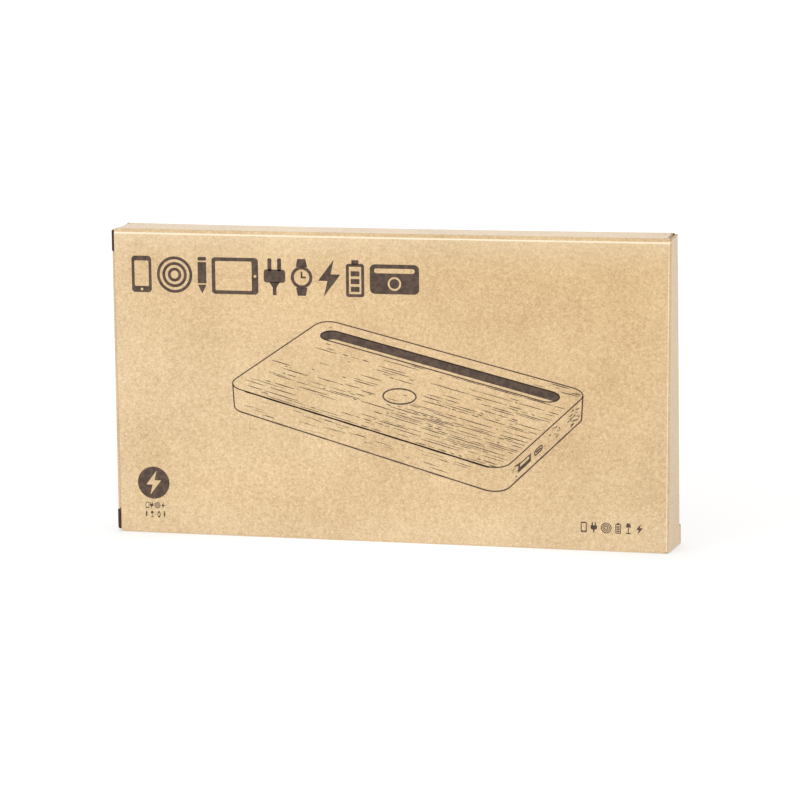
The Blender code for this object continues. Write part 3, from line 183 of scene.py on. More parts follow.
class Finish:
    """A material's node tree, with short ways to add nodes and join them."""

    def __init__(self, name, roughness, metallic=0.0):
        self.material = bpy.data.materials.new(name)
        self.material.use_nodes = True
        self.tree = self.material.node_tree
        self.shader = self.tree.nodes["Principled BSDF"]
        self.set("Roughness", roughness)
        self.set("Metallic", metallic)

    def join(self, socket, value):
        """Sets a socket's value, or links another socket to it."""
        if isinstance(value, bpy.types.NodeSocket):
            self.tree.links.new(value, socket)
        else:
            socket.default_value = value

    def set(self, name, value):
        """Sets or joins one of the shader's inputs."""
        self.join(self.shader.inputs[name], value)

    def add(self, kind, inputs=(), **settings):
        """A node with settings, its inputs given as (name or number, value or socket)."""
        node = self.tree.nodes.new(kind)
        for name, value in settings.items():
            setattr(node, name, value)
        for name, value in inputs:
            self.join(node.inputs[name], value)
        return node

    def stored(self, name, output="Fac"):
        """What the mesh holds at each point under a name."""
        return self.add("ShaderNodeAttribute", attribute_name=name).outputs[output]

    def sheet_place(self):
        """The point in millimetres, where it is at rest on a board sheet."""
        return self.stored("rest", "Vector")

    def object_place(self):
        """The point in its object, in millimetres."""
        source = self.add("ShaderNodeTexCoord").outputs["Object"]
        return self.stretched(source, (1 / MM, 1 / MM, 1 / MM))

    def stretched(self, vector, scales):
        """A vector multiplied along each axis."""
        inputs = ((0, vector), (1, scales))
        return self.add("ShaderNodeVectorMath", inputs, operation="MULTIPLY").outputs[0]

    def split(self, vector):
        """A vector's three parts."""
        return self.add("ShaderNodeSeparateXYZ", ((0, vector),)).outputs

    def noise(self, vector, scale, detail=2.0, roughness=0.5, along=1.0):
        """Smooth noise about 0.5, drawn out along X where along is under 1."""
        vector = self.stretched(vector, (along, 1.0, 1.0))
        inputs = (("Vector", vector), ("Scale", scale), ("Detail", detail), ("Roughness", roughness))
        return self.add("ShaderNodeTexNoise", inputs).outputs[0]

    def maths(self, operation, first, second=0.0, third=0.0):
        """One sum of up to three values."""
        inputs = ((0, first), (1, second), (2, third))
        return self.add("ShaderNodeMath", inputs, operation=operation).outputs[0]

    def band(self, value, low, high, from_low=0.0, from_high=1.0):
        """A value mapped from one range to another, smoothly at both ends."""
        names = ("Value", "From Min", "From Max", "To Min", "To Max")
        inputs = zip(names, (value, low, high, from_low, from_high))
        return self.add("ShaderNodeMapRange", inputs, interpolation_type="SMOOTHSTEP").outputs[0]

    def mix(self, share, first, second, blend_type="MIX"):
        """A colour between two, each a colour or a socket."""
        inputs = [(0, share)]
        for number, colour in ((6, first), (7, second)):
            inputs.append((number, (*colour, 1.0) if isinstance(colour, tuple) else colour))
        return self.add("ShaderNodeMix", inputs, data_type="RGBA", blend_type=blend_type).outputs[2]

    def spots(self, vector, spacing, radius, share):
        """1 on round spots in a share of cells about a spacing wide, 0 elsewhere. Lengths in millimetres."""
        cells = self.add("ShaderNodeTexVoronoi", (("Vector", vector), ("Scale", 1 / spacing))).outputs
        near = self.band(cells["Distance"], 0.6 * radius / spacing, radius / spacing, 1.0, 0.0)
        chosen = self.add("ShaderNodeSeparateColor", ((0, cells["Color"]),)).outputs[0]
        return self.maths("MULTIPLY", near, self.maths("LESS_THAN", chosen, share))

    def bump(self, height, distance):
        """Bends the normal by a height field."""
        inputs = (("Height", height), ("Distance", distance))
        self.set("Normal", self.add("ShaderNodeBump", inputs).outputs[0])


def scaled(colour, factor):
    """A colour made lighter or darker."""
    return tuple(part * factor for part in colour)


def add_object(name, mesh):
    """Links a mesh to the scene under a name."""
    piece = bpy.data.objects.new(name, mesh)
    bpy.context.collection.objects.link(piece)
    return piece


# Board finishes

KRAFT = (0.600, 0.428, 0.233)
KRAFT_INSIDE = (0.560, 0.405, 0.235)
CRACKED_KRAFT = (0.830, 0.700, 0.520)
# Painted highlight along the creases, partly paler cracked fibre, and painted shade in them
CREASE_HIGHLIGHT_AND_CRACK = (0.900, 0.760, 0.560)
CREASE_PAINTED_SHADE = (0.220, 0.125, 0.060)
SPECK = (0.230, 0.130, 0.060)
PALE_FIBRE = (0.820, 0.690, 0.480)
LINER = (0.440, 0.305, 0.170)
FLUTE_PAPER = (0.530, 0.385, 0.225)
# Painted shade in the flute's hollows at a raw edge
FLUTE_HOLLOW_SHADE = (0.060, 0.033, 0.016)
# Painted shade on the raw edges beyond the slits
PAINTED_SLIT_SHADE = (0.040, 0.016, 0.007)
DARK_GRAIN_SHARES = (0.67, 0.58, 0.46)

# Painted shade: the board is darker and warmer towards the upper right, across a line that rises to the
# right, in millimetres: its slope, ends and tint
SHADE_SLOPE = 0.25
SHADE_SPAN = (30.0, 140.0)
PAINTED_SHADE_SHARES = (0.985, 0.945, 0.85)

# Spots in the board: how they are drawn out along X, their spacing and radius in millimetres, the share of
# cells that have one, their colour and its strength
SPOTS = (
    (1.0, 11.0, 0.22, 0.16, SPECK, 0.75),
    (0.3, 5.0, 0.12, 0.25, SPECK, 0.35),
    (0.4, 6.0, 0.16, 0.30, PALE_FIBRE, 0.6),
)

# In a raw edge's layout the depth runs from 0 to 1 through the board, and this is added along the flutes
PLAIN_RIM = 2.0
RIM_END = 0.999

# Across a raw edge, as shares of the board: how far the flute swings, how far its paper reaches to each
# side and fades out, and where the liners fade in, counted from the middle
FLUTE_SWING = 0.21
FLUTE_BAND = (0.07, 0.14)
LINER_BAND = (0.29, 0.34)


def kraft_finish(name, colour):
    """Unbleached board: fibres along the flutes, clouds, dark and pale specks, worn folds, painted highlights
    and shade at the creases, and painted shade to the upper right.
    """
    finish = Finish(name, roughness=0.45)
    finish.set("Sheen Weight", 0.28)
    finish.set("Sheen Roughness", 0.4)
    place = finish.sheet_place()
    fibres = finish.noise(place, 2.9, 3.0, 0.7, 0.8)
    mottle = finish.noise(place, 0.8)
    cloud = finish.noise(place, 0.035)
    tone = finish.maths("MULTIPLY_ADD", fibres, 1.8, -0.40)
    tone = finish.maths("MULTIPLY_ADD", mottle, 0.7, tone)
    tone = finish.maths("MULTIPLY_ADD", cloud, 0.5, tone)
    tone = finish.maths("SUBTRACT", tone, 0.6)
    dark = tuple(part * share for part, share in zip(colour, DARK_GRAIN_SHARES))
    light = tuple(part * (2 - share) for part, share in zip(colour, DARK_GRAIN_SHARES))
    tinted = finish.mix(tone, dark, light)
    # Painted shade, darker and warmer towards the upper right
    along, _, up = finish.split(place)
    painted_shade = finish.band(finish.maths("MULTIPLY_ADD", along, SHADE_SLOPE, up), *SHADE_SPAN)
    tinted = finish.mix(painted_shade, tinted, finish.mix(1.0, tinted, PAINTED_SHADE_SHARES, "MULTIPLY"))
    cracks = finish.band(finish.noise(place, 2.6, 3.0, 0.7), 0.42, 0.66)
    share = finish.maths("MULTIPLY", finish.maths("MULTIPLY", finish.stored("wear"), cracks), 0.45)
    tinted = finish.mix(share, tinted, CRACKED_KRAFT)
    # Painted highlights along the creases (partly paler cracked fibre on the front's top ledge) and painted
    # shade in score lines and on dust flap shoulders, made ragged by noise
    ragged_crack_and_light = finish.maths("MULTIPLY_ADD", finish.noise(place, 1.1, 3.0, 0.7), 1.6, 0.2)
    ragged_crack_and_light = finish.maths("MULTIPLY", finish.stored("crack_and_painted_light"), ragged_crack_and_light)
    for sign, line, strength in ((1.0, CREASE_HIGHLIGHT_AND_CRACK, 1.0), (-1.0, CREASE_PAINTED_SHADE, 0.9)):
        share = finish.band(finish.maths("MULTIPLY", ragged_crack_and_light, sign), 0.0, 0.9, 0.0, strength)
        tinted = finish.mix(share, tinted, line)
    for drawn_out, spacing, radius, chosen, spot, strength in SPOTS:
        spots = finish.spots(finish.stretched(place, (drawn_out, 1.0, 1.0)), spacing, radius, chosen)
        tinted = finish.mix(finish.maths("MULTIPLY", spots, strength), tinted, spot)
    finish.set("Base Color", tinted)
    finish.set("Roughness", finish.band(fibres, 0.3, 0.7, 0.38, 0.50))
    finish.bump(finish.noise(place, 3.2, 3.0, 0.6, 0.5), 0.00005)
    return finish.material


def raw_edge_finish():
    """The cut edge of the board: two liners, and the flute between them where the edge crosses it, with
    painted shade in the hollows beside the flute.
    """
    finish = Finish("raw_edge", roughness=0.85)
    along, depth, _ = finish.split(finish.add("ShaderNodeUVMap", uv_map="edge").outputs[0])
    plain = finish.maths("GREATER_THAN", depth, PLAIN_RIM / 2)
    depth = finish.maths("FRACT", depth)
    turn = finish.maths("MULTIPLY", along, 2 * math.pi * MM / FLUTE_PITCH)
    wave = finish.maths("MULTIPLY_ADD", finish.maths("SINE", turn), FLUTE_SWING, 0.5)
    off = finish.maths("ABSOLUTE", finish.maths("SUBTRACT", depth, wave))
    flute = finish.maths("MAXIMUM", finish.band(off, *FLUTE_BAND, 1.0, 0.0), plain)
    liner = finish.band(finish.maths("ABSOLUTE", finish.maths("SUBTRACT", depth, 0.5)), *LINER_BAND)
    layered = finish.mix(liner, finish.mix(flute, FLUTE_HOLLOW_SHADE, FLUTE_PAPER), LINER)
    fuzz = finish.noise(finish.sheet_place(), 3.0, 4.0, 0.7)
    finish.set("Base Color", finish.mix(finish.band(fuzz, 0.35, 0.75, 0.0, 0.5), layered, FLUTE_PAPER))
    finish.bump(fuzz, 0.00012)
    return finish.material


def painted_slit_shade_finish():
    """The slit edges, with painted shade: dark brown, as in the shadowed gap at the slits."""
    finish = Finish("slit_edge_painted_shade", roughness=0.9)
    fuzz = finish.noise(finish.sheet_place(), 2.2, 4.0, 0.7)
    finish.set("Base Color", finish.mix(finish.band(fuzz, 0.5, 0.8), PAINTED_SLIT_SHADE, scaled(LINER, 0.5)))
    finish.bump(fuzz, 0.0001)
    return finish.material


# Board sheets. A patch of a sheet's outer face is a list of rows, and each place in a row is a point with the
# direction that looks out of the board there, and where light is painted on it also a value from -1 to 1:
# above
# 0 a painted highlight, partly paler cracked fibre on the front's top ledge, and below 0 painted shade.

# A sheet's finishes, by their number
INSIDE_NUMBER = 1
RAW_EDGE_NUMBER = 2
SLIT_EDGE_SHADE_NUMBER = 3

# The least that the corner of a raw edge is divided by as it is drawn out, so that none runs far
SLID_LIMIT = 0.25
MITRE_LIMIT = 0.5


def between(low, high, steps):
    """Evenly spaced values from low to high."""
    return [low + (high - low) * step / steps for step in range(steps + 1)]


def fold_profile(centre, radius, start, end, steps):
    """A fold seen along its axis: (a, b, out a, out b) from one angle to another."""
    profile = []
    for angle in between(start, end, steps):
        out = (math.cos(angle), math.sin(angle))
        profile.append((centre[0] + radius * out[0], centre[1] + radius * out[1], *out))
    return profile


def crisp_fold(centre, start, end):
    """A quarter fold with a tight corner, from the end of one flat stretch to the start of the other."""
    first = (math.cos(start), math.sin(start))
    last = (math.cos(end), math.sin(end))
    offset = HINGE_RADIUS - FOLD_RADIUS
    inner = (centre[0] + offset * (first[0] + last[0]), centre[1] + offset * (first[1] + last[1]))
    before = (centre[0] + HINGE_RADIUS * first[0], centre[1] + HINGE_RADIUS * first[1], *first)
    after = (centre[0] + HINGE_RADIUS * last[0], centre[1] + HINGE_RADIUS * last[1], *last)
    return [before, *fold_profile(inner, FOLD_RADIUS, start, end, FOLD_STEPS), after]


def hump(distance, half_width):
    """1 in the middle of a line and 0 beyond its edges."""
    share = min(1.0, abs(distance) / half_width)
    return (1 + math.cos(math.pi * share)) / 2


def runs_along(profile):
    """How far each place of a profile is from its start."""
    runs = [0.0]
    for before, after in zip(profile, profile[1:]):
        runs.append(runs[-1] + math.hypot(after[0] - before[0], after[1] - before[1]))
    return runs


def arc_inset(distance):
    """How far a rounded corner is behind the flat face, at a distance from the corner's far side."""
    if distance >= FOLD_RADIUS:
        return 0.0
    return FOLD_RADIUS - math.sqrt(FOLD_RADIUS ** 2 - (FOLD_RADIUS - distance) ** 2)


def front_inset(z):
    """How far the sleeve's front is behind its plane at a height."""
    down = CARTON_HEIGHT - z
    for (high, near), (low, far) in zip(TOP_FOLD[1:], TOP_FOLD):
        if high <= down <= low:
            return near + (far - near) * (down - high) / (low - high)
    return arc_inset(z)


def back_inset(z):
    """How far the sleeve's back is behind its plane at a height."""
    return arc_inset(CARTON_HEIGHT - z)


def ledge_highlight_and_crack(z):
    """1 on the ledge below the front's top edge, which is painted pale: a painted highlight, partly paler
    cracked fibre.
    """
    return hump(CARTON_HEIGHT - z - LEDGE_DROP, LEDGE_HALF_WIDTH)


def closure_crease():
    """A closure's crease with its score line: (x, y, out x, out y, painted light), a painted highlight before
    the score line and painted shade in it.
    """
    fold = crisp_fold(CLOSURE_CENTRE, -math.pi / 2, 0.0)
    flat = fold[0]
    length = HINGE_RADIUS - FOLD_RADIUS
    fold = [(flat[0] + length * share, *flat[1:]) for share in CREASE_LEAD_SHARES] + fold[1:]
    crease = []
    for (x, y, out_x, out_y), run in zip(fold, runs_along(fold)):
        # The score line is sunk and gets painted shade; the pale line before it is a painted highlight
        dark = hump(run - SCORE_RUN, SCORE_HALF_WIDTH)
        highlight = hump(run - HIGHLIGHT_RUN, HIGHLIGHT_HALF_WIDTH)
        sunk = SCORE_DEPTH * dark
        crease.append((x - out_x * sunk, y - out_y * sunk, out_x, out_y, HIGHLIGHT_SHARE * highlight - dark))
    return crease


def upside_down(place, height=CARTON_HEIGHT):
    """Mirrored from the top of the carton to its bottom. A direction has no height."""
    return (place[0], place[1], height - place[2])


def wear_at(point):
    """1 along the carton's long and upright edges, fading with the distance from them."""
    level = min(point.z, CARTON_HEIGHT - point.z)
    nearest = sorted((HALF_LENGTH - abs(point.x), HALF_DEPTH - abs(point.y), level))[:2]
    distance = math.hypot(*[max(off, 0.0) for off in nearest])
    return max(0.0, 1 - distance / WEAR_REACH)


def rim_profile():
    """The raw edge across the board: (how far out, how deep) with both arrises rounded."""
    quarter = []
    for angle in between(0.0, math.pi / 2, EDGE_ROUND_STEPS):
        quarter.append((EDGE_ROUND * (math.sin(angle) - 1), EDGE_ROUND * (1 - math.cos(angle))))
    return quarter + [(0.0, BOARD / 2)] + [(out, BOARD - deep) for out, deep in reversed(quarter)]


def edge_out(loop):
    """The direction in a face that looks out over its edge."""
    ahead = loop.link_loop_next.vert.co - loop.vert.co
    return ahead.cross(loop.face.normal).normalized()


def rim_reach(sides):
    """Where a raw edge's corner goes for each unit outward, from (direction, is joined) of its two edges."""
    (first, first_joined), (second, second_joined) = sides
    if first_joined and second_joined:
        return Vector((0.0, 0.0, 0.0))
    if first_joined or second_joined:
        free, held = (second, first) if first_joined else (first, second)
        slid = free - held * free.dot(held)
        return slid / max(slid.length_squared, SLID_LIMIT)
    return (first + second) / max(1 + first.dot(second), MITRE_LIMIT)


def outer_face(patches):
    """A mesh of a sheet's outer face from its patches, with its outward directions and painted light in
    layers.
    """
    bm = bmesh.new()
    outward = bm.verts.layers.float_vector.new("outward")
    crack_and_painted_light = bm.verts.layers.float.new("crack_and_painted_light")
    for rows in patches:
        grid = []
        for row in rows:
            grid.append([])
            for point, out, *own_crack_and_painted_light in row:
                vertex = bm.verts.new(point)
                vertex[outward] = out
                vertex[crack_and_painted_light] = own_crack_and_painted_light[0] if own_crack_and_painted_light else 0.0
                grid[-1].append(vertex)
        for lower, upper in zip(grid, grid[1:]):
            for column in range(len(lower) - 1):
                bm.faces.new((lower[column], lower[column + 1], upper[column + 1], upper[column]))
    bmesh.ops.remove_doubles(bm, verts=bm.verts, dist=TOLERANCE)
    bm.normal_update()
    inward = [face for face in bm.faces if face.normal.dot(face.verts[0][outward]) < 0]
    bmesh.ops.reverse_faces(bm, faces=inward)
    bm.normal_update()
    return bm, outward


def rim_layout(start, end, flutes):
    """Where along the flute's waves an edge starts and ends, and what its depth is counted from."""
    ahead = end - start
    sizes = [abs(part) for part in ahead]
    axis = sizes.index(max(sizes))
    if axis == flutes:
        return 0.0, 0.0, PLAIN_RIM
    return start[axis] / MM, end[axis] / MM, 0.0


def free_edges(bm, joined, in_painted_shade, flutes):
    """The sheet's open edges with their places in the edge layout, and the two sides of each corner."""
    rims = []
    sides = {}
    for edge in bm.edges:
        if edge.is_boundary:
            loop = edge.link_loops[0]
            start, end = loop.vert, loop.link_loop_next.vert
            held = joined(start.co) and joined(end.co)
            upright = abs(end.co.z - start.co.z) > TOLERANCE
            # Upright raw edges beyond the slits get the dark finish of painted shade
            dark = in_painted_shade is not None and upright and in_painted_shade(start.co) and in_painted_shade(end.co)
            rims.append((start, end, dark, *rim_layout(start.co.copy(), end.co.copy(), flutes)))
            for vertex in (start, end):
                sides.setdefault(vertex, []).append((edge_out(loop), held))
    return rims, sides


def thicken(bm, outward, sides):
    """Adds the points behind the outer face: the round of each raw edge, and each point's twin inside."""
    profile = rim_profile()
    ring = {}
    twin = {}
    for vertex in list(bm.verts):
        out = Vector(vertex[outward])
        corner = vertex.co.copy()
        if vertex not in sides:
            twin[vertex] = bm.verts.new(corner - out * BOARD)
            continue
        reach = rim_reach(sides[vertex])
        vertex.co = corner + reach * profile[0][0]
        ring[vertex] = [vertex]
        for beyond, deep in profile[1:]:
            ring[vertex].append(bm.verts.new(corner + reach * beyond - out * deep))
        twin[vertex] = ring[vertex][-1]
    return ring, twin


def close_rims(bm, rims, ring):
    """Closes the raw edges, with each place along and across the board in the edge layout."""
    edge_map = bm.loops.layers.uv["edge"]
    depths = [deep / BOARD * RIM_END for _, deep in rim_profile()]
    for start, end, dark, start_along, end_along, depth_from in rims:
        near, far = ring[start], ring[end]
        for level, (shallow, deep) in enumerate(zip(depths, depths[1:])):
            face = bm.faces.new((far[level], near[level], near[level + 1], far[level + 1]))
            # Raw edges beyond the slits get the finish of painted shade
            face.material_index = SLIT_EDGE_SHADE_NUMBER if dark else RAW_EDGE_NUMBER
            alongs = (end_along, start_along, start_along, end_along)
            for loop, along, depth in zip(face.loops, alongs, (shallow, shallow, deep, deep)):
                loop[edge_map].uv = (along, depth_from + depth)


def board_sheet(name, node, patches, joined, flutes, in_painted_shade=None, bend=None, turn=1.0):
    """A sheet of board with rounded raw edges, which stands for a node.

    joined tells of a point on the outer face whether the board goes on there in another sheet. flutes is
    the axis that they run along in the folded sheet. in_painted_shade tells where upright raw edges get
    painted shade. bend moves the finished sheet's points. turn is -1 at the left end, whose sheets are turned
    half round Z.
    """
    bm, outward = outer_face(patches)
    bm.loops.layers.uv.new("edge")
    outer = list(bm.faces)
    rims, sides = free_edges(bm, joined, in_painted_shade, flutes)
    ring, twin = thicken(bm, outward, sides)
    for face in outer:
        inner = bm.faces.new([twin[vertex] for vertex in reversed(face.verts)])
        inner.material_index = INSIDE_NUMBER
    close_rims(bm, rims, ring)
    for vertex in bm.verts:
        if bend is not None:
            vertex.co = bend(vertex.co)
        vertex.co = Vector((turn * vertex.co.x, turn * vertex.co.y, vertex.co.z))
    mesh = bpy.data.meshes.new(name)
    bm.to_mesh(mesh)
    bm.free()
    mesh.shade_smooth()
    mesh.set_sharp_from_angle(angle=SHARP_ANGLE)
    mesh.attributes.new("rest", "FLOAT_VECTOR", "POINT")
    mesh.attributes.new("wear", "FLOAT", "POINT")
    places = mesh.attributes["rest"].data
    worn = mesh.attributes["wear"].data
    for index, vertex in enumerate(mesh.vertices):
        places[index].vector = vertex.co / MM
        worn[index].value = wear_at(vertex.co)
    for finish in (OUTSIDE, INSIDE, RAW_EDGE, SLIT_EDGE_SHADE):
        mesh.materials.append(finish)
    piece = add_object(name, mesh)
    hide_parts(node)
    return piece


def hinge(sheet, start, turn):
    """Bakes a sheet's placement into its mesh."""
    half_turn = Matrix.Diagonal((turn, turn, 1.0))
    tuple(half_turn @ Vector(start))
    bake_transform(sheet)


def sag(point):
    """The top edge hangs a little between its ends, most along the back."""
    height_share = max(0.0, point.z / CARTON_HEIGHT - 0.5) * 2
    depth_share = (point.y + HALF_DEPTH) / CARTON_DEPTH
    across = SAG_FRONT_SHARE + (1 - SAG_FRONT_SHARE) * min(max(depth_share, 0.0), 1.0)
    along = 1 - min(1.0, abs(point.x) / HALF_LENGTH) ** 2
    return Vector((point.x, point.y, point.z - TOP_SAG * height_share * across * along))


Row = namedtuple("Row", "y z out_y out_z left right")


def front_top_fold():
    """The front's top fold, with a ledge where the crease cracked."""
    raw = HALF_LENGTH - RAW_EDGE_SETBACK
    rows = []
    for index, (down, back) in enumerate(TOP_FOLD):
        angle = math.pi - math.pi / 2 * index / (len(TOP_FOLD) - 1)
        z = CARTON_HEIGHT - down
        free = max(0.0, (z - CREASE_TOP) / CREASE_BOTTOM)
        left = -raw + (raw - CORNER_STUB) * free
        right = CORNER_EAR if free > TOLERANCE else CLOSURE_CENTRE[0]
        rows.append(Row(back - HALF_DEPTH, z, math.cos(angle), math.sin(angle), left, right))
    return rows


def corner_fold(centre, start):
    """A quarter fold that leaves a level panel. Its ear ends where the crease of a closure begins."""
    raw = HALF_LENGTH - RAW_EDGE_SETBACK
    turns = between(0.0, math.pi / 2, FOLD_STEPS)
    turns.append(CREASE_TURN - CORNER_CUT / FOLD_RADIUS)
    rows = []
    for turn in sorted(turns):
        out = (math.cos(start - turn), math.sin(start - turn))
        plain = CORNER_STUB + (raw - CORNER_STUB) * turn / (math.pi / 2)
        hinged = CLOSURE_CENTRE[0] if turn > CREASE_TURN - TOLERANCE else CORNER_EAR
        left, right = (plain, hinged) if centre[0] < 0 else (hinged, plain)
        place = (centre[0] + FOLD_RADIUS * out[0], centre[1] + FOLD_RADIUS * out[1])
        rows.append(Row(*place, *out, -left, right))
    return rows


def level_rows(z, out_z):
    """The top or bottom panel between its folds, with cuts beside the dust flaps."""
    end = DUST_CENTRE[0]
    spans = (
        (DUST_CREASE_FRONT - CORNER_CUT, -CORNER_STUB, CORNER_EAR),
        (DUST_CREASE_FRONT, -CORNER_STUB, end),
        (-DUST_BACK - CORNER_CUT, -CORNER_STUB, end),
        (-DUST_BACK, -end, end),
        (DUST_BACK, -end, end),
        (DUST_BACK + CORNER_CUT, -end, CORNER_STUB),
        (-DUST_CREASE_FRONT, -end, CORNER_STUB),
        (-DUST_CREASE_FRONT + CORNER_CUT, -CORNER_EAR, CORNER_STUB),
    )
    return [Row(y, z, 0.0, out_z, left, right) for y, left, right in spans]


def upright_rows(y, low, top, out_y, left, right):
    """The levels of the front or the back panel."""
    return [Row(y, z, out_y, 0.0, left, right) for z in between(low, top, SHEET_LEVELS)]


def sleeve_rows():
    """The sleeve's outer face from the seam at the back of the bottom round to the glue flap."""
    raw = HALF_LENGTH - RAW_EDGE_SETBACK
    hinged = CLOSURE_CENTRE[0]
    glue = HALF_LENGTH - GLUE_FLAP_SETBACK
    tapered = glue - GLUE_FLAP_TAPER
    inner = HALF_DEPTH - HINGE_RADIUS
    level = HALF_DEPTH - FOLD_RADIUS
    fold_top = CARTON_HEIGHT - FOLD_RADIUS
    rows = [Row(HALF_DEPTH - SEAM_SETBACK, 0.0, 0.0, -1.0, -CORNER_EAR, CORNER_STUB)]
    rows += reversed(level_rows(0.0, -1.0))
    rows += corner_fold((-level, FOLD_RADIUS), -math.pi / 2)
    rows += upright_rows(-HALF_DEPTH, FOLD_RADIUS, CARTON_HEIGHT - TOP_FOLD[0][0], -1.0, -raw, hinged)[1:-1]
    rows += front_top_fold()
    rows += level_rows(CARTON_HEIGHT, 1.0)
    rows += corner_fold((level, fold_top), math.pi / 2)
    rows += upright_rows(HALF_DEPTH, BACK_CREASE_BOTTOM, fold_top, 1.0, -hinged, raw)[-2::-1]
    back_bottom = crisp_fold((inner, HINGE_RADIUS + GLUE_FACE), 0.0, -math.pi / 2)[2:]
    for place, share in zip(back_bottom, between(0.0, 1.0, len(back_bottom) - 1)):
        left = -hinged * (1 - share) - glue * share
        right = raw * (1 - share) + glue * share
        rows.append(Row(*place, left, right))
    rows.append(Row(inner - GLUE_FLAP_WIDTH, GLUE_FACE, 0.0, -1.0, -tapered, tapered))
    return rows


def sleeve_patch():
    """The whole of the sleeve's outer face."""
    patch = []
    for row in sleeve_rows():
        places = []
        # A painted highlight on the front's top ledge, partly paler cracked fibre
        crack_and_painted_light = ledge_highlight_and_crack(row.z) if row.y < 0 and row.out_y < 0 else 0.0
        for x in between(row.left, row.right, SHEET_STATIONS):
            places.append(((x, row.y, row.z), (0.0, row.out_y, row.out_z), crack_and_painted_light))
        patch.append(places)
    return patch


def sleeve_joined(point):
    """True on the sleeve's ends where the closures and the dust flaps go on."""
    turn = 1.0 if point.x > 0 else -1.0
    x, y = abs(point.x), turn * point.y
    at_dust = abs(x - DUST_CENTRE[0]) < TOLERANCE and DUST_FRONT - TOLERANCE < y < DUST_BACK + TOLERANCE
    at_face = point.z < TOLERANCE or point.z > CARTON_HEIGHT - TOLERANCE
    low = CREASE_BOTTOM if turn > 0 else BACK_CREASE_BOTTOM
    at_crease = low - TOLERANCE < point.z < CREASE_TOP + TOLERANCE and y < CLOSURE_CENTRE[1]
    return (at_dust and at_face) or (abs(x - CLOSURE_CENTRE[0]) < TOLERANCE and at_crease)


def make_sleeve():
    """Front, top, back and bottom panel with the glue flap: one folded sheet."""
    sleeve = board_sheet("sleeve_sheet", "carton_sleeve", [sleeve_patch()], sleeve_joined, 0, bend=sag)
    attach(sleeve, "carton")


# How each end differs. A closure's free edge stands out by its bulge at the bottom, and by a share of that at
# the top. The pairs are for its lower and its upper corner: the slit's length, how far the free corner is
# drawn in along the carton, and how far it is short of the closure's height. The drop lowers the top edge.

End = namedtuple("End", "side turn bulge top_share crease_bottom inset slits draws lifts drop")
RIGHT_END = End(
    side="right",
    turn=1.0,
    bulge=0.00265,
    top_share=0.20,
    crease_bottom=CREASE_BOTTOM,
    inset=front_inset,
    slits=(0.008, 0.008),
    draws=(-0.0002, 0.0003),
    lifts=(0.0, 0.0),
    drop=0.0,
)
LEFT_END = End(
    side="left",
    turn=-1.0,
    bulge=0.00155,
    top_share=0.66,
    crease_bottom=BACK_CREASE_BOTTOM,
    inset=back_inset,
    slits=(0.0089, 0.0091),
    draws=(0.0003, 0.0003),
    lifts=(0.0013, 0.0),
    drop=0.0005,
)


def bulged(end):
    """Moves a closure's points so that its free edge stands out, because its tuck isn't pushed home."""

    def bend(point):
        depth_share = min(1.0, max(0.0, (point.y + HALF_DEPTH) / CARTON_DEPTH))
        height_share = 1 - (1 - end.top_share) * point.z / CARTON_HEIGHT
        return Vector((point.x + end.bulge * depth_share * height_share, point.y, point.z))

    return bend


def fold_levels(end):
    """The heights of a tuck fold between its two slits."""
    return between(CLOSURE_BOTTOM + end.slits[0], CLOSURE_TOP - end.slits[1], SHEET_LEVELS)


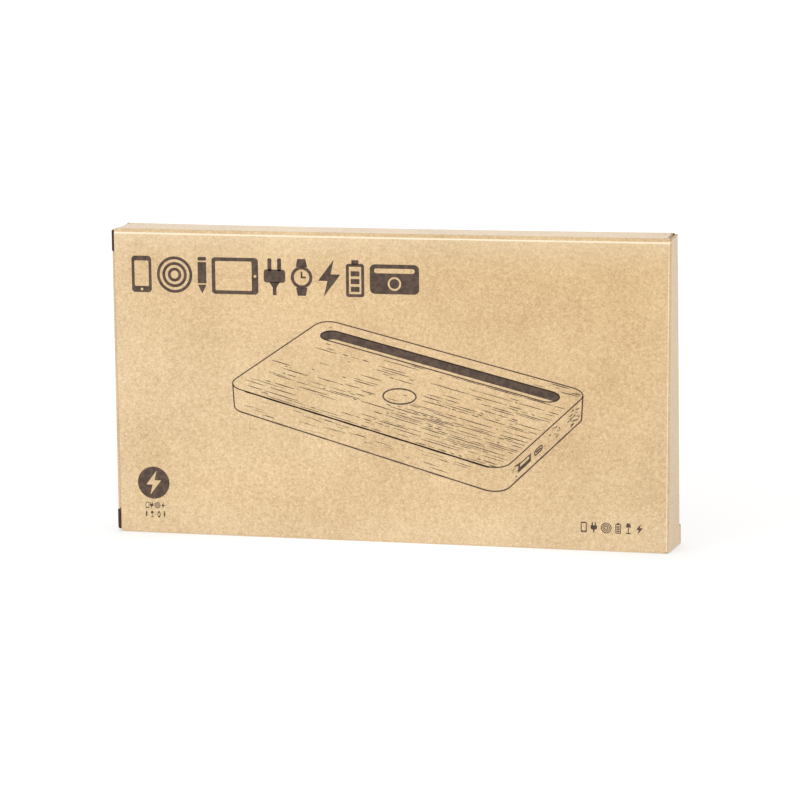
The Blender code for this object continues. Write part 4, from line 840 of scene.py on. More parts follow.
def make_closure(end):
    """An end panel with its whole crease, which follows the sleeve's folds and is cut free at its ends."""
    panel_ys = between(CLOSURE_CENTRE[1], TUCK_CENTRE[1], PANEL_STEPS)
    profile = closure_crease() + [(HALF_LENGTH, y, 1.0, 0.0, 0.0) for y in panel_ys[1:]]
    levels = fold_levels(end)
    inner_levels = [levels[0] - SLIT_WIDTH, *levels, levels[-1] + SLIT_WIDTH]
    band_low = BACK_CREASE_BOTTOM + FOLD_RADIUS
    band_high = CARTON_HEIGHT - TOP_FOLD[0][0]
    top = CLOSURE_TOP - end.drop
    strips = []
    for (x, y, out_x, out_y, crack_and_painted_light), run in zip(profile, runs_along(profile)):
        free = min(1.0, run / CORNER_CUT_LENGTH) ** CORNER_CUT_POWER
        low = end.crease_bottom + (CLOSURE_BOTTOM - end.crease_bottom) * free
        high = CREASE_TOP + (top - CREASE_TOP) * free
        near = max(0.0, 1 - run / CREASE_FADE)
        strip = []
        for z in between(low, band_low, BAND_STEPS) + inner_levels + between(band_high, high, BAND_STEPS):
            back = end.inset(z) * near
            own_crack_and_painted_light = crack_and_painted_light
            # The ledge's painted highlight, partly cracked fibre, runs on into the right closure's crease
            if end.inset is front_inset:
                own_crack_and_painted_light = max(crack_and_painted_light, ledge_highlight_and_crack(z) * min(1.0, 2 * near))
            strip.append(((x - out_x * back, y - out_y * back, z), (out_x, out_y, 0.0), own_crack_and_painted_light))
        strips.append(strip)
    lower_tab = []
    upper_tab = []
    for y, share in zip(between(TUCK_CENTRE[1], CLOSURE_RAW_EDGE, FLAP_STEPS), between(0.0, 1.0, FLAP_STEPS)):
        low, high = [lift * share ** CORNER_CUT_POWER for lift in end.lifts]
        lower = [*between(CLOSURE_BOTTOM + low, band_low, BAND_STEPS), inner_levels[0]]
        upper = [inner_levels[-1], *between(band_high, top - high, BAND_STEPS)]
        for tab, heights, draw in ((lower_tab, lower, end.draws[0]), (upper_tab, upper, end.draws[1])):
            tab.append([((HALF_LENGTH - draw * share, y, z), (1.0, 0.0, 0.0)) for z in heights])

    def joined(point):
        """True along the sleeve's end of the crease and where the tuck fold starts."""
        at_fold = abs(point.y - TUCK_CENTRE[1]) < TOLERANCE
        inside = levels[0] - TOLERANCE < point.z < levels[-1] + TOLERANCE
        return point.x < CLOSURE_CENTRE[0] + TOLERANCE or (at_fold and inside)

    def in_painted_shade(point):
        """True on the raw edges beyond the slits, which get painted shade."""
        outside = not levels[0] + TOLERANCE < point.z < levels[-1] - TOLERANCE
        return outside and point.y > TUCK_CENTRE[1] - TOLERANCE

    name = end.side + "_closure"
    patches = [strips, lower_tab, upper_tab]
    sheet = board_sheet(name + "_sheet", name, patches, joined, 1, in_painted_shade, bulged(end), end.turn)
    crease_start = (CLOSURE_CENTRE[0] + BOARD / 2, BOARD / 2 - HALF_DEPTH, 0.0)
    hinge(sheet, crease_start, end.turn)


def make_tuck_flap(end):
    """The flap behind the far panel, with the whole fold that joins it to the closure."""
    free_end = HALF_LENGTH - TUCK_REACH
    ear = DUST_FACE - BOARD - LAYER_GAP
    fold = crisp_fold(TUCK_CENTRE, 0.0, math.pi / 2)
    fold.append((ear, TUCK_FACE, 0.0, 1.0))
    levels = fold_levels(end)
    neck = [[((x, y, z), (out_x, out_y, 0.0)) for z in levels] for x, y, out_x, out_y in fold]
    places = [(ear, 0.0)]
    for angle in between(math.pi / 2, 0.0, CORNER_STEPS):
        inward = TUCK_CORNER_RADIUS * (1 - math.sin(angle))
        places.append((free_end + TUCK_CORNER_RADIUS * (1 - math.cos(angle)), inward))
    flap = []
    for x, inward in places:
        heights = [TUCK_SIDE_GAP + inward, *levels, CARTON_HEIGHT - TUCK_SIDE_GAP - inward]
        flap.append([((x, TUCK_FACE, z), (0.0, 1.0, 0.0)) for z in heights])

    def joined(point):
        """True where the fold starts at the closure."""
        return point.y < TUCK_CENTRE[1] + TOLERANCE

    name = end.side + "_tuck_flap"
    bend = bulged(end)
    sheet = board_sheet(name + "_sheet", name, [neck, flap], joined, 0, bend=bend, turn=end.turn)
    foot = bend(Vector((HALF_LENGTH - BOARD / 2, TUCK_CENTRE[1] + BOARD / 2, 0.0)))
    head = bend(Vector((HALF_LENGTH - BOARD / 2, TUCK_CENTRE[1] + BOARD / 2, CARTON_HEIGHT)))
    hinge(sheet, foot, end.turn)


def make_dust_flap(side, turn, level):
    """A tapered flap with the whole fold that joins it to the top or the bottom panel."""
    fold = crisp_fold(DUST_CENTRE, math.pi / 2, 0.0)
    rows = [(place, DUST_CREASE_FRONT, DUST_BACK) for place in fold[:-1]]
    rows.append((fold[-1], DUST_FRONT, DUST_BACK))
    length = DUST_LENGTH - HINGE_RADIUS
    depths = [((length - DUST_TIP_LENGTH) * share, 0.0) for share in between(0.0, 1.0, DUST_STEPS)[1:]]
    for angle in between(0.0, math.pi / 2, CORNER_STEPS)[1:]:
        depth = length - DUST_TIP_LENGTH * (1 - math.sin(angle))
        depths.append((depth, DUST_TIP_CHAMFER * (1 - math.cos(angle))))
    for depth, chamfer in depths:
        front = DUST_FRONT + DUST_FRONT_TAPER * depth / length + chamfer
        back = DUST_BACK - DUST_BACK_TAPER * depth / length - chamfer
        rows.append(((DUST_FACE, DUST_CENTRE[1] - depth, 1.0, 0.0), front, back))
    patch = []
    for (x, z, out_x, out_z), front, back in rows:
        # Painted shade along the flap's shoulder, part of the way round its fold
        crack_and_painted_light = -hump(out_x - SHOULDER_SHADE_OUT, SHOULDER_SHADE_HALF_WIDTH)
        patch.append([((x, y, z), (out_x, 0.0, out_z), crack_and_painted_light) for y in between(front, back, FLAP_STEPS)])
    start = (DUST_CENTRE[0] + BOARD / 2, 0.0, CARTON_HEIGHT - BOARD / 2)
    end = (DUST_FACE - BOARD / 2, 0.0, DUST_CENTRE[1] + BOARD / 2)
    bend = sag
    if level == "bottom":
        for row in patch:
            row[:] = [(upside_down(point), upside_down(out, 0.0), crack_and_painted_light) for point, out, crack_and_painted_light in row]
        start = upside_down(start)
        end = upside_down(end)
        bend = None

    def joined(point):
        """True where the fold starts at the panel."""
        return point.x < DUST_CENTRE[0] + TOLERANCE

    name = "%s_dust_flap_%s" % (side, level)
    sheet = board_sheet(name + "_sheet", name, [patch], joined, 2, bend=bend, turn=turn)
    hinge(sheet, start, turn)


def rounded_path(corners):
    """A profile through corners given as (x, z, radius of the outer face), the outer face on the right."""
    places = [Vector(corner[:2]) for corner in corners]
    runs = []
    for before, after in zip(places, places[1:]):
        ahead = (after - before).normalized()
        runs.append((after, ahead, Vector((ahead.y, -ahead.x))))
    path = [(*places[0], *runs[0][2])]
    for (corner, ahead, out), (_, onward, _), (_, _, radius) in zip(runs, runs[1:], corners[1:]):
        sign = 1.0 if ahead.x * onward.y - ahead.y * onward.x > 0 else -1.0
        centre = corner + (onward - ahead) * radius
        start = math.atan2(out.y * sign, out.x * sign)
        for a, b, out_a, out_b in fold_profile(centre, radius, start, start + math.pi / 2 * sign, FOLD_STEPS):
            path.append((a, b, out_a * sign, out_b * sign))
    path.append((*places[-1], *runs[-1][2]))
    return path


def make_spacer():
    """The strip folded into a beam over the charger and a bay beside it."""
    side = HALF_DEPTH - BOARD - LAYER_GAP
    path = rounded_path(
        (
            (SPACER_PARTITION, SPACER_FOOT, 0.0),
            (SPACER_PARTITION, SPACER_SHELF, HINGE_RADIUS - BOARD),
            (SPACER_REACH, SPACER_SHELF, HINGE_RADIUS),
            (SPACER_REACH, SPACER_ROOF, HINGE_RADIUS),
            (-SPACER_REACH, SPACER_ROOF, HINGE_RADIUS),
            (-SPACER_REACH, SPACER_FOOT, 0.0),
        )
    )
    depths = between(-side, side, FLAP_STEPS)
    patch = [[((x, y, z), (out_x, 0.0, out_z)) for y in depths] for x, z, out_x, out_z in path]
    spacer = board_sheet("spacer_sheet", "inner_spacer", [patch], lambda point: False, 1)
    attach(spacer, "carton")


def make_board():
    """Every sheet of board."""
    make_sleeve()
    for end in (RIGHT_END, LEFT_END):
        make_closure(end)
        make_tuck_flap(end)
        for level in ("top", "bottom"):
            make_dust_flap(end.side, end.turn, level)
    make_spacer()


# Print. A shape is a list of loops of (x, z) on the front panel, from its lower left corner: an outline and
# the holes in it.

INK = (0.078, 0.050, 0.036)
PRINT_SCALE = 0.9934
PRINT_LEFT = 0.00078
PRINT_BOTTOM = 0.00012
INK_LIFT = 0.00003
INK_SINK = 0.00006
LINE = 0.00047
CURVE_STEPS = 24
BOX_CORNER_STEPS = 6


def ink_finish():
    """Dark ink that the board's fibres show through here and there."""
    finish = Finish("ink", roughness=0.6)
    finish.set("Specular IOR Level", 0.25)
    place = finish.object_place()
    grain = finish.noise(place, 2.4, 4.0, 0.7, 0.6)
    patchy = finish.noise(place, 0.5)
    tone = finish.mix(finish.band(patchy, 0.35, 0.65), scaled(INK, 0.8), scaled(INK, 1.3))
    missed = finish.band(grain, 0.66, 0.78, 0.0, 0.6)
    finish.set("Base Color", finish.mix(missed, tone, scaled(KRAFT, 0.8)))
    finish.bump(grain, 0.00004)
    return finish.material


def add_shape(bm, loops):
    """A thin closed solid of ink with a shape's outline and holes."""
    levels = []
    for y in (-HALF_DEPTH - INK_LIFT, INK_SINK - HALF_DEPTH):
        levels.append([])
        for loop in loops:
            levels[-1].append([])
            for x, z in loop:
                across, up = PRINT_LEFT + PRINT_SCALE * x - HALF_LENGTH, PRINT_BOTTOM + PRINT_SCALE * z
                levels[-1][-1].append(bm.verts.new((across, y, up)))
    fronts, backs = levels
    flat = [[Vector((x, z, 0.0)) for x, z in loop] for loop in loops]
    all_front = [vertex for loop in fronts for vertex in loop]
    all_back = [vertex for loop in backs for vertex in loop]
    places = [place for loop in flat for place in loop]
    for a, b, c in tessellate_polygon(flat):
        across = (places[b] - places[a]).cross(places[c] - places[a]).z
        if across < 0:
            b, c = c, b
        bm.faces.new((all_front[a], all_front[b], all_front[c]))
        bm.faces.new((all_back[a], all_back[c], all_back[b]))
    for index, (front, back) in enumerate(zip(fronts, backs)):
        area = sum(p.x * q.y - q.x * p.y for p, q in zip(flat[index], flat[index][1:] + flat[index][:1]))
        ahead = (area > 0) == (index == 0)
        for here in range(len(front)):
            after = (here + 1) % len(front)
            quad = (front[after], front[here], back[here], back[after])
            bm.faces.new(quad if ahead else tuple(reversed(quad)))


def print_shapes(name, shapes):
    """One piece of ink from a list of shapes."""
    bm = bmesh.new()
    for loops in shapes:
        add_shape(bm, loops)
    mesh = bpy.data.meshes.new(name)
    bm.to_mesh(mesh)
    bm.free()
    mesh.materials.append(INK_FINISH)
    piece = add_object(name, mesh)
    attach(piece, "carton")
    return piece


def circle(centre, radius, steps=CURVE_STEPS):
    """A round loop."""
    angles = between(0.0, 2 * math.pi, steps)[:-1]
    return [(centre[0] + radius * math.cos(angle), centre[1] + radius * math.sin(angle)) for angle in angles]


def box_loop(low, high, radius=0.0, steps=BOX_CORNER_STEPS):
    """A rectangle with round corners."""
    if radius <= 0:
        return [(low[0], low[1]), (high[0], low[1]), (high[0], high[1]), (low[0], high[1])]
    loop = []
    for x, z, start in (
        (high[0] - radius, high[1] - radius, 0.0),
        (low[0] + radius, high[1] - radius, math.pi / 2),
        (low[0] + radius, low[1] + radius, math.pi),
        (high[0] - radius, low[1] + radius, -math.pi / 2),
    ):
        for turn in between(0.0, math.pi / 2, steps):
            loop.append((x + radius * math.cos(start + turn), z + radius * math.sin(start + turn)))
    return loop


def normals_along(points, closed):
    """The unit normal at each point of a line."""
    normals = []
    count = len(points)
    for index in range(count):
        before = points[index - 1] if index or closed else points[index]
        after = points[(index + 1) % count] if index < count - 1 or closed else points[index]
        across = Vector((before[1] - after[1], after[0] - before[0]))
        normals.append(across.normalized())
    return normals


def both_sides(points, widths, closed):
    """A line's two sides, from its width at each point."""
    normals = normals_along(points, closed)
    sides = []
    for sign in (1, -1):
        halves = [sign * width / 2 for width in widths]
        sides.append([(p[0] + n.x * half, p[1] + n.y * half) for p, n, half in zip(points, normals, halves)])
    return sides


def stroke(points, widths):
    """An open line as a shape, with a width at each point."""
    left, right = both_sides(points, widths, False)
    return [left + right[::-1]]


def closed_line(points, width):
    """A closed line as a shape."""
    first, second = both_sides(points, [width] * len(points), True)
    return [first, second] if max(first)[0] > max(second)[0] else [second, first]


# Pictograms, each drawn one unit high: its width and its shapes

BOLT_SIGN = (0.62, [[[(0.44, 1.0), (0.0, 0.42), (0.26, 0.42), (0.16, 0.0), (0.62, 0.60), (0.35, 0.60)]]])
PHONE_SCREEN = box_loop((0.08, 0.17), (0.48, 0.87), 0.03)
PHONE_SIGN = (0.56, [[box_loop((0.0, 0.0), (0.56, 1.0), 0.10), PHONE_SCREEN, circle((0.28, 0.085), 0.038)]])
TABLET_SCREEN = box_loop((0.10, 0.10), (1.12, 0.90), 0.03)
TABLET_SIGN = (1.30, [[box_loop((0.0, 0.0), (1.30, 1.0), 0.10), TABLET_SCREEN, circle((1.21, 0.5), 0.04)]])
COIL_RINGS = ((0.50, 0.42), (0.345, 0.265), (0.19, 0.11))
COIL_SIGN = (1.0, [[circle((0.5, 0.5), radius, 40) for radius in ring] for ring in COIL_RINGS])
PEN_SIGN = (
    0.24,
    [
        [[(0.0, 0.28), (0.24, 0.28), (0.24, 0.86), (0.0, 0.86)]],
        [[(0.0, 0.24), (0.12, 0.0), (0.24, 0.24)]],
        [box_loop((0.0, 0.90), (0.24, 1.0), 0.04)],
    ],
)
PLUG_SIGN = (
    0.60,
    [
        [box_loop((0.0, 0.34), (0.60, 0.70), 0.08)],
        [box_loop((0.11, 0.66), (0.22, 1.0), 0.03)],
        [box_loop((0.38, 0.66), (0.49, 1.0), 0.03)],
        [[(0.15, 0.36), (0.25, 0.20), (0.25, 0.0), (0.35, 0.0), (0.35, 0.20), (0.45, 0.36)]],
    ],
)
BATTERY_SIGN = (
    0.50,
    [
        [box_loop((0.0, 0.0), (0.50, 0.90), 0.07), box_loop((0.08, 0.08), (0.42, 0.82), 0.02)],
        [box_loop((0.15, 0.88), (0.35, 1.0), 0.03)],
        *[[box_loop((0.13, z), (0.37, z + 0.14), 0.02)] for z in (0.14, 0.35, 0.56)],
    ],
)
WATCH_SIGN = (
    0.60,
    [
        [circle((0.30, 0.5), 0.30, 32), circle((0.30, 0.5), 0.215, 32)],
        [[(0.275, 0.475), (0.275, 0.66), (0.325, 0.66), (0.325, 0.525), (0.42, 0.525), (0.42, 0.475)]],
        [[(0.14, 0.78), (0.46, 0.78), (0.41, 1.0), (0.19, 1.0)]],
        [[(0.19, 0.0), (0.41, 0.0), (0.46, 0.22), (0.14, 0.22)]],
    ],
)
LAMP_SIGN = (
    0.70,
    [
        [[(0.10, 0.62), (0.60, 0.62), (0.50, 1.0), (0.20, 1.0)]],
        [box_loop((0.31, 0.10), (0.39, 0.64))],
        [box_loop((0.12, 0.0), (0.58, 0.11), 0.04)],
    ],
)
PAD_SLAB = box_loop((0.0, 0.10), (1.35, 0.90), 0.14)
PAD_SLOT = box_loop((0.12, 0.66), (1.23, 0.79), 0.06)
PAD_RING = closed_line(circle((0.675, 0.38), 0.16, 32), 0.05)
PAD_SIGN = (1.35, [[PAD_SLAB, PAD_SLOT, PAD_RING[0]], [PAD_RING[1]]])

TITLE_SIGNS = (
    PHONE_SIGN,
    COIL_SIGN,
    PEN_SIGN,
    TABLET_SIGN,
    PLUG_SIGN,
    WATCH_SIGN,
    BOLT_SIGN,
    BATTERY_SIGN,
    PAD_SIGN,
)
UPPER_NOTE = (PHONE_SIGN, PLUG_SIGN, COIL_SIGN, BOLT_SIGN)
LOWER_NOTE = (PEN_SIGN, LAMP_SIGN, WATCH_SIGN, PEN_SIGN)
MARK_SIGNS = (PHONE_SIGN, PLUG_SIGN, COIL_SIGN, BATTERY_SIGN, LAMP_SIGN, BOLT_SIGN)

# Rows of signs on the front: name, signs, left and right end, lower edge and height
TITLE_ROW = ("large_sign", TITLE_SIGNS, 0.0069, 0.1229, 0.0975, 0.0145)
SMALL_ROWS = (
    ("upper_note", UPPER_NOTE, 0.0102, 0.0183, 0.0100, 0.0026),
    ("lower_note", LOWER_NOTE, 0.0102, 0.0183, 0.0063, 0.0026),
    ("small_sign", MARK_SIGNS, 0.1863, 0.2105, 0.0073, 0.0042),
)
BADGE_CENTRE = (0.0138, 0.0205)
BADGE_RADIUS = 0.00655
BADGE_SIGN_HEIGHT = 0.0100
BADGE_STEPS = 64


def placed(shapes, x, z, height):
    """A sign's shapes moved to a place and scaled to a height."""
    return [[[(x + a * height, z + b * height) for a, b in loop] for loop in loops] for loops in shapes]


def sign_row(name, signs, left, right, bottom, height):
    """Signs spaced evenly from left to right."""
    total = sum(width for width, _ in signs) * height
    gap = (right - left - total) / (len(signs) - 1)
    x = left
    for number, (width, shapes) in enumerate(signs, start=1):
        print_shapes("%s_%d" % (name, number), placed(shapes, x, bottom, height))
        x += width * height + gap


def make_signs():
    """The rows of signs, and the round badge with a sign left open in it."""
    sign_row(*TITLE_ROW)
    width, shapes = BOLT_SIGN
    left = BADGE_CENTRE[0] - width * BADGE_SIGN_HEIGHT / 2
    bottom = BADGE_CENTRE[1] - BADGE_SIGN_HEIGHT / 2
    hole = placed(shapes, left, bottom, BADGE_SIGN_HEIGHT)[0][0]
    print_shapes("badge", [[circle(BADGE_CENTRE, BADGE_RADIUS, BADGE_STEPS), hole]])
    for row in SMALL_ROWS:
        sign_row(*row)


# The line drawing: the slab seen from its right front, in its own frame (x along it, y from its front, z up)

SLAB = Vector((0.12331, 0.07467, 0.01016))
SLAB_CORNER = 0.00694
ALONG_FRONT = Vector((1.0, 0.0, 0.0))
ALONG_END = Vector((0.0, 1.0, 0.0))
DRAWING_CENTRE = (0.1171, 0.05735)
DRAWING_DISTANCE = 0.6819
DRAWING_YAW = math.radians(29.83)
DRAWING_PITCH = math.radians(27.54)
DRAWING_SEED = 11
SLOT_LEFT = 0.0069
SLOT_RIGHT = 0.11605
SLOT_FRONT = 0.0577
SLOT_REAR = 0.0672
SLOT_DEPTH = 0.0040
RING_CENTRE = (0.063, 0.0303)
RING_RADIUS = 0.0065
RING_WIDTH = 0.00058
USB_A_SPAN = (0.0135, 0.0241)
USB_A_RISE = (0.0029, 0.0065)
USB_C_SPAN = (0.0273, 0.0336)
USB_C_RISE = (0.0036, 0.0058)
PORT_CORNER = 0.0003
TONGUE_SIDE = 0.0016
TONGUE_BELOW = 0.0018
TONGUE_ABOVE = 0.0006
OUTLINE_STEP = 0.002
OUTLINE_CORNER_STEPS = 12
SLOT_CORNER_STEPS = 16
RING_STEPS = 48
HEAVY = 1.15
PORT_HEAVY = 1.3

# A drawn line swells and thins in a wave: where the wave may start, its turn from point to point, and the
# share of the spread that each point takes
WAVE_STARTS = (0.0, 6.0)
WAVE_TURN = 0.7
WAVE_SHARES = (0.4, 1.0)

# A second line under the front's upper edge: how far in and down it lies, how uneven it is, and its stretches
# as shares of the side that shows
LIP_INSET = 0.0002
LIP_DROP = 0.0003
LIP_SPREAD_SHARE = 0.35
LIP_STRETCH_SHARES = ((0.08, 0.46), (0.44, 0.60))

# Grain: how far its strokes keep from the top's edges, the slot and the ring, and what they are drawn from
GRAIN_MARGIN = 0.0014
GRAIN_START = 0.012
GRAIN_STOP = 0.004
GRAIN_END = 0.0015
SLOT_CLEARANCE = (0.001, 0.0009)
RING_CLEARANCE = 0.0012
GRAIN_CHECKS = 5
GRAIN_POINTS = 5
GRAIN_WANDER = 0.00012
GRAIN_ROWS = (0.0009, 0.0021)
GRAIN_RUNS = (0.006, 0.030)
GRAIN_DENSITIES = (0.1, 0.6, 1.2, 2.0)
GRAIN_LENGTHS = (0.0018, 0.004, 0.008, 0.014)
GRAIN_STRETCH = (0.7, 1.3)
GRAIN_WIDTHS = (0.00018, 0.00038)
GRAIN_GAPS = (0.0004, 0.0022)

# The grain's density at the slab's rear and what its front adds, and the same from its left to its right
DENSITY_BY_DEPTH = (0.18, 0.60)
DENSITY_BY_LENGTH = (0.45, 0.90)

# A stroke swells like a half wave: the least share of its width, and how much of the wave is left off at
# each tip
LEAST_WIDTH_SHARE = 0.15
WAVE_CUT = 0.08

# Strokes on the slab's front, and dabs on its right end: their number, and where they lie along it
FRONT_STROKES = 40
FRONT_STOP = 0.012
FRONT_RISE = (0.0012, 0.0016)
FRONT_LENGTHS = (0.002, 0.009)
FRONT_WIDTHS = (0.00010, 0.00022)
END_DABS = ((26, 0.055, 0.066), (10, 0.0345, 0.052), (9, 0.0072, 0.0125))
END_RISE = (0.0010, 0.0014)
END_LENGTHS = (0.0008, 0.0035)
END_WIDTHS = (0.00012, 0.0004)


def view_axes(yaw, pitch, roll=0.0):
    """Right, up and back of a view from the front, turned by yaw to the right and pitch above."""
    back = Vector((math.sin(yaw) * math.cos(pitch), -math.cos(yaw) * math.cos(pitch), math.sin(pitch)))
    right = Vector((math.cos(yaw), math.sin(yaw), 0.0))
    up = back.cross(right)
    rolled_right = math.cos(roll) * right + math.sin(roll) * up
    rolled_up = math.cos(roll) * up - math.sin(roll) * right
    return rolled_right, rolled_up, back


def drawn(x, y, z):
    """A point of the slab as (x, z) on the front panel."""
    right, up, back = view_axes(DRAWING_YAW, DRAWING_PITCH)
    offset = Vector((x, y, z)) - SLAB / 2
    share = DRAWING_DISTANCE / (DRAWING_DISTANCE - offset.dot(back))
    return (DRAWING_CENTRE[0] + offset.dot(right) * share, DRAWING_CENTRE[1] + offset.dot(up) * share)


def slab_outline(inset=0.0):
    """The slab's outline seen from above, counterclockwise."""
    low = (inset, inset)
    return box_loop(low, (SLAB.x - inset, SLAB.y - inset), SLAB_CORNER - inset, OUTLINE_CORNER_STEPS)


def chosen_stretch(loop, chosen):
    """The one stretch of a closed loop whose points are chosen."""
    start = next(i for i in range(len(loop)) if chosen[i] and not chosen[i - 1])
    return [loop[(start + step) % len(loop)] for step in range(sum(chosen))]


def seen_part(outline):
    """The stretch of the slab's side that faces the viewer, as points of its outline."""
    eye = SLAB / 2 + view_axes(DRAWING_YAW, DRAWING_PITCH)[2] * DRAWING_DISTANCE
    facing = []
    for index, (x, y) in enumerate(outline):
        before, after = outline[index - 1], outline[(index + 1) % len(outline)]
        out = Vector((after[1] - before[1], before[0] - after[0]))
        facing.append(out.dot(Vector((eye.x - x, eye.y - y))) > 0)
    return chosen_stretch(outline, facing)


def dense(points, spacing, closed=False):
    """A line with points no further apart than a spacing."""
    ends = points[1:] + points[:1] if closed else points[1:]
    result = []
    for (ax, az), (bx, bz) in zip(points, ends):
        steps = max(1, math.ceil(math.hypot(bx - ax, bz - az) / spacing))
        result += [(ax + (bx - ax) * s / steps, az + (bz - az) * s / steps) for s in range(steps)]
    if not closed:
        result.append(points[-1])
    return result


def uneven(rng, count, width, spread):
    """Line widths that swell and thin a little."""
    phase = rng.uniform(*WAVE_STARTS)
    waves = [math.sin(phase + WAVE_TURN * step) for step in range(count)]
    return [width * (1 + spread * wave * rng.uniform(*WAVE_SHARES)) for wave in waves]


def drawn_line(rng, points, width, spread=0.15):
    """An open line of the drawing through points of the slab."""
    flat = [drawn(*point) for point in points]
    return stroke(flat, uneven(rng, len(flat), width, spread))


def outline_lines(rng):
    """The edges of the slab that show."""
    top = dense(slab_outline(), OUTLINE_STEP, True)
    side = seen_part(top)
    shapes = [closed_line([drawn(x, y, SLAB.z) for x, y in top], LINE)]
    shapes.append(drawn_line(rng, [(x, y, 0.0) for x, y in side], LINE * HEAVY))
    for x, y in (side[0], side[-1]):
        shapes.append(drawn_line(rng, [(x, y, SLAB.z * share) for share in (0.0, 0.5, 1.0)], LINE))
    lip = seen_part(dense(slab_outline(LIP_INSET), OUTLINE_STEP, True))
    for start, end in LIP_STRETCH_SHARES:
        part = [(x, y, SLAB.z - LIP_DROP) for x, y in lip[int(len(lip) * start):int(len(lip) * end)]]
        shapes.append(drawn_line(rng, part, LINE * HEAVY, LIP_SPREAD_SHARE))
    return shapes


def inside_loop(point, loop):
    """True if a point is inside a loop."""
    crossings = 0
    for (ax, az), (bx, bz) in zip(loop, loop[1:] + loop[:1]):
        if (az > point[1]) != (bz > point[1]) and point[0] < (bx - ax) * (point[1] - az) / (bz - az) + ax:
            crossings += 1
    return crossings % 2 == 1


def slot_shapes():
    """The slot: its dark inner wall, and its lip all round."""
    radius = (SLOT_REAR - SLOT_FRONT) / 2
    plan = box_loop((SLOT_LEFT, SLOT_FRONT), (SLOT_RIGHT, SLOT_REAR), radius, SLOT_CORNER_STEPS)
    plan = dense(plan, OUTLINE_STEP, True)
    lip = [drawn(x, y, SLAB.z) for x, y in plan]
    floor = [drawn(x, y, SLAB.z - SLOT_DEPTH) for x, y in plan]
    rear = chosen_stretch(lip, [not inside_loop(point, floor) for point in lip])
    front = chosen_stretch(floor, [inside_loop(point, lip) for point in floor])
    return [[rear + front[::-1]], closed_line(lip, LINE)]


def port_shapes(rng):
    """The two sockets in the slab's right end."""

    def on_end(loop):
        """A loop of (y, z) on the slab's right end, as drawn."""
        return [drawn(SLAB.x, y, z) for y, z in loop]

    (a_left, a_right), (a_low, a_high) = USB_A_SPAN, USB_A_RISE
    (c_left, c_right), (c_low, c_high) = USB_C_SPAN, USB_C_RISE
    mouth = box_loop((a_left, a_low), (a_right, a_high), PORT_CORNER)
    tongue_low = (a_left + TONGUE_SIDE, a_low + TONGUE_BELOW)
    tongue = box_loop(tongue_low, (a_right - TONGUE_SIDE, a_high - TONGUE_ABOVE))
    radius = (c_high - c_low) / 2
    small_mouth = box_loop((c_left, c_low), (c_right, c_high), radius)
    middle = [(SLAB.x, y, (c_low + c_high) / 2) for y in (c_left + radius, c_right - radius)]
    shapes = [[on_end(mouth), on_end(tongue)], closed_line(on_end(small_mouth), LINE)]
    return shapes + [drawn_line(rng, middle, LINE * PORT_HEAVY)]


def grain_stroke(rng, place, length, width, along):
    """A tapered stroke from a place of the slab, along one of its directions."""
    shares = between(0.0, 1.0, GRAIN_POINTS - 1)
    points = []
    for share in shares:
        wander = Vector((0.0, rng.uniform(-GRAIN_WANDER, GRAIN_WANDER), 0.0))
        points.append(drawn(*(place + along * length * share + wander)))
    waves = [math.sin(math.pi * (WAVE_CUT + (1 - 2 * WAVE_CUT) * share)) for share in shares]
    tapers = [LEAST_WIDTH_SHARE + (1 - LEAST_WIDTH_SHARE) * wave for wave in waves]
    return stroke(points, [width * taper for taper in tapers])


def clear_of_marks(x, y, length):
    """True if a stroke along the slab keeps off the slot and the ring."""
    side, front = SLOT_CLEARANCE
    for place in [x + length * share for share in between(0.0, 1.0, GRAIN_CHECKS)]:
        in_slot = SLOT_LEFT - side < place < SLOT_RIGHT + side and SLOT_FRONT - front < y < SLOT_REAR + front
        off_ring = abs(math.hypot(place - RING_CENTRE[0], y - RING_CENTRE[1]) - RING_RADIUS)
        if in_slot or off_ring < RING_CLEARANCE:
            return False
    return True


def top_grain(rng):
    """Wood grain on the slab's top: rows of short strokes, denser towards the front and the right."""
    rear, front = DENSITY_BY_DEPTH
    left, right = DENSITY_BY_LENGTH
    shapes = []
    y = GRAIN_MARGIN
    while y < SLAB.y - GRAIN_MARGIN:
        x = rng.uniform(GRAIN_MARGIN, GRAIN_START)
        run_end = x
        density = 0.0
        while x < SLAB.x - GRAIN_STOP:
            if x >= run_end:
                run_end = x + rng.uniform(*GRAIN_RUNS)
                usual = (rear + front * (1 - y / SLAB.y)) * (left + right * x / SLAB.x)
                density = usual * rng.choice(GRAIN_DENSITIES)
            length = rng.choice(GRAIN_LENGTHS) * rng.uniform(*GRAIN_STRETCH)
            length = min(length, SLAB.x - GRAIN_END - x)
            if rng.random() < density and clear_of_marks(x, y, length):
                width = rng.uniform(*GRAIN_WIDTHS)
                shapes.append(grain_stroke(rng, Vector((x, y, SLAB.z)), length, width, ALONG_FRONT))
            x += length + rng.uniform(*GRAIN_GAPS)
        y += rng.uniform(*GRAIN_ROWS)
    return shapes


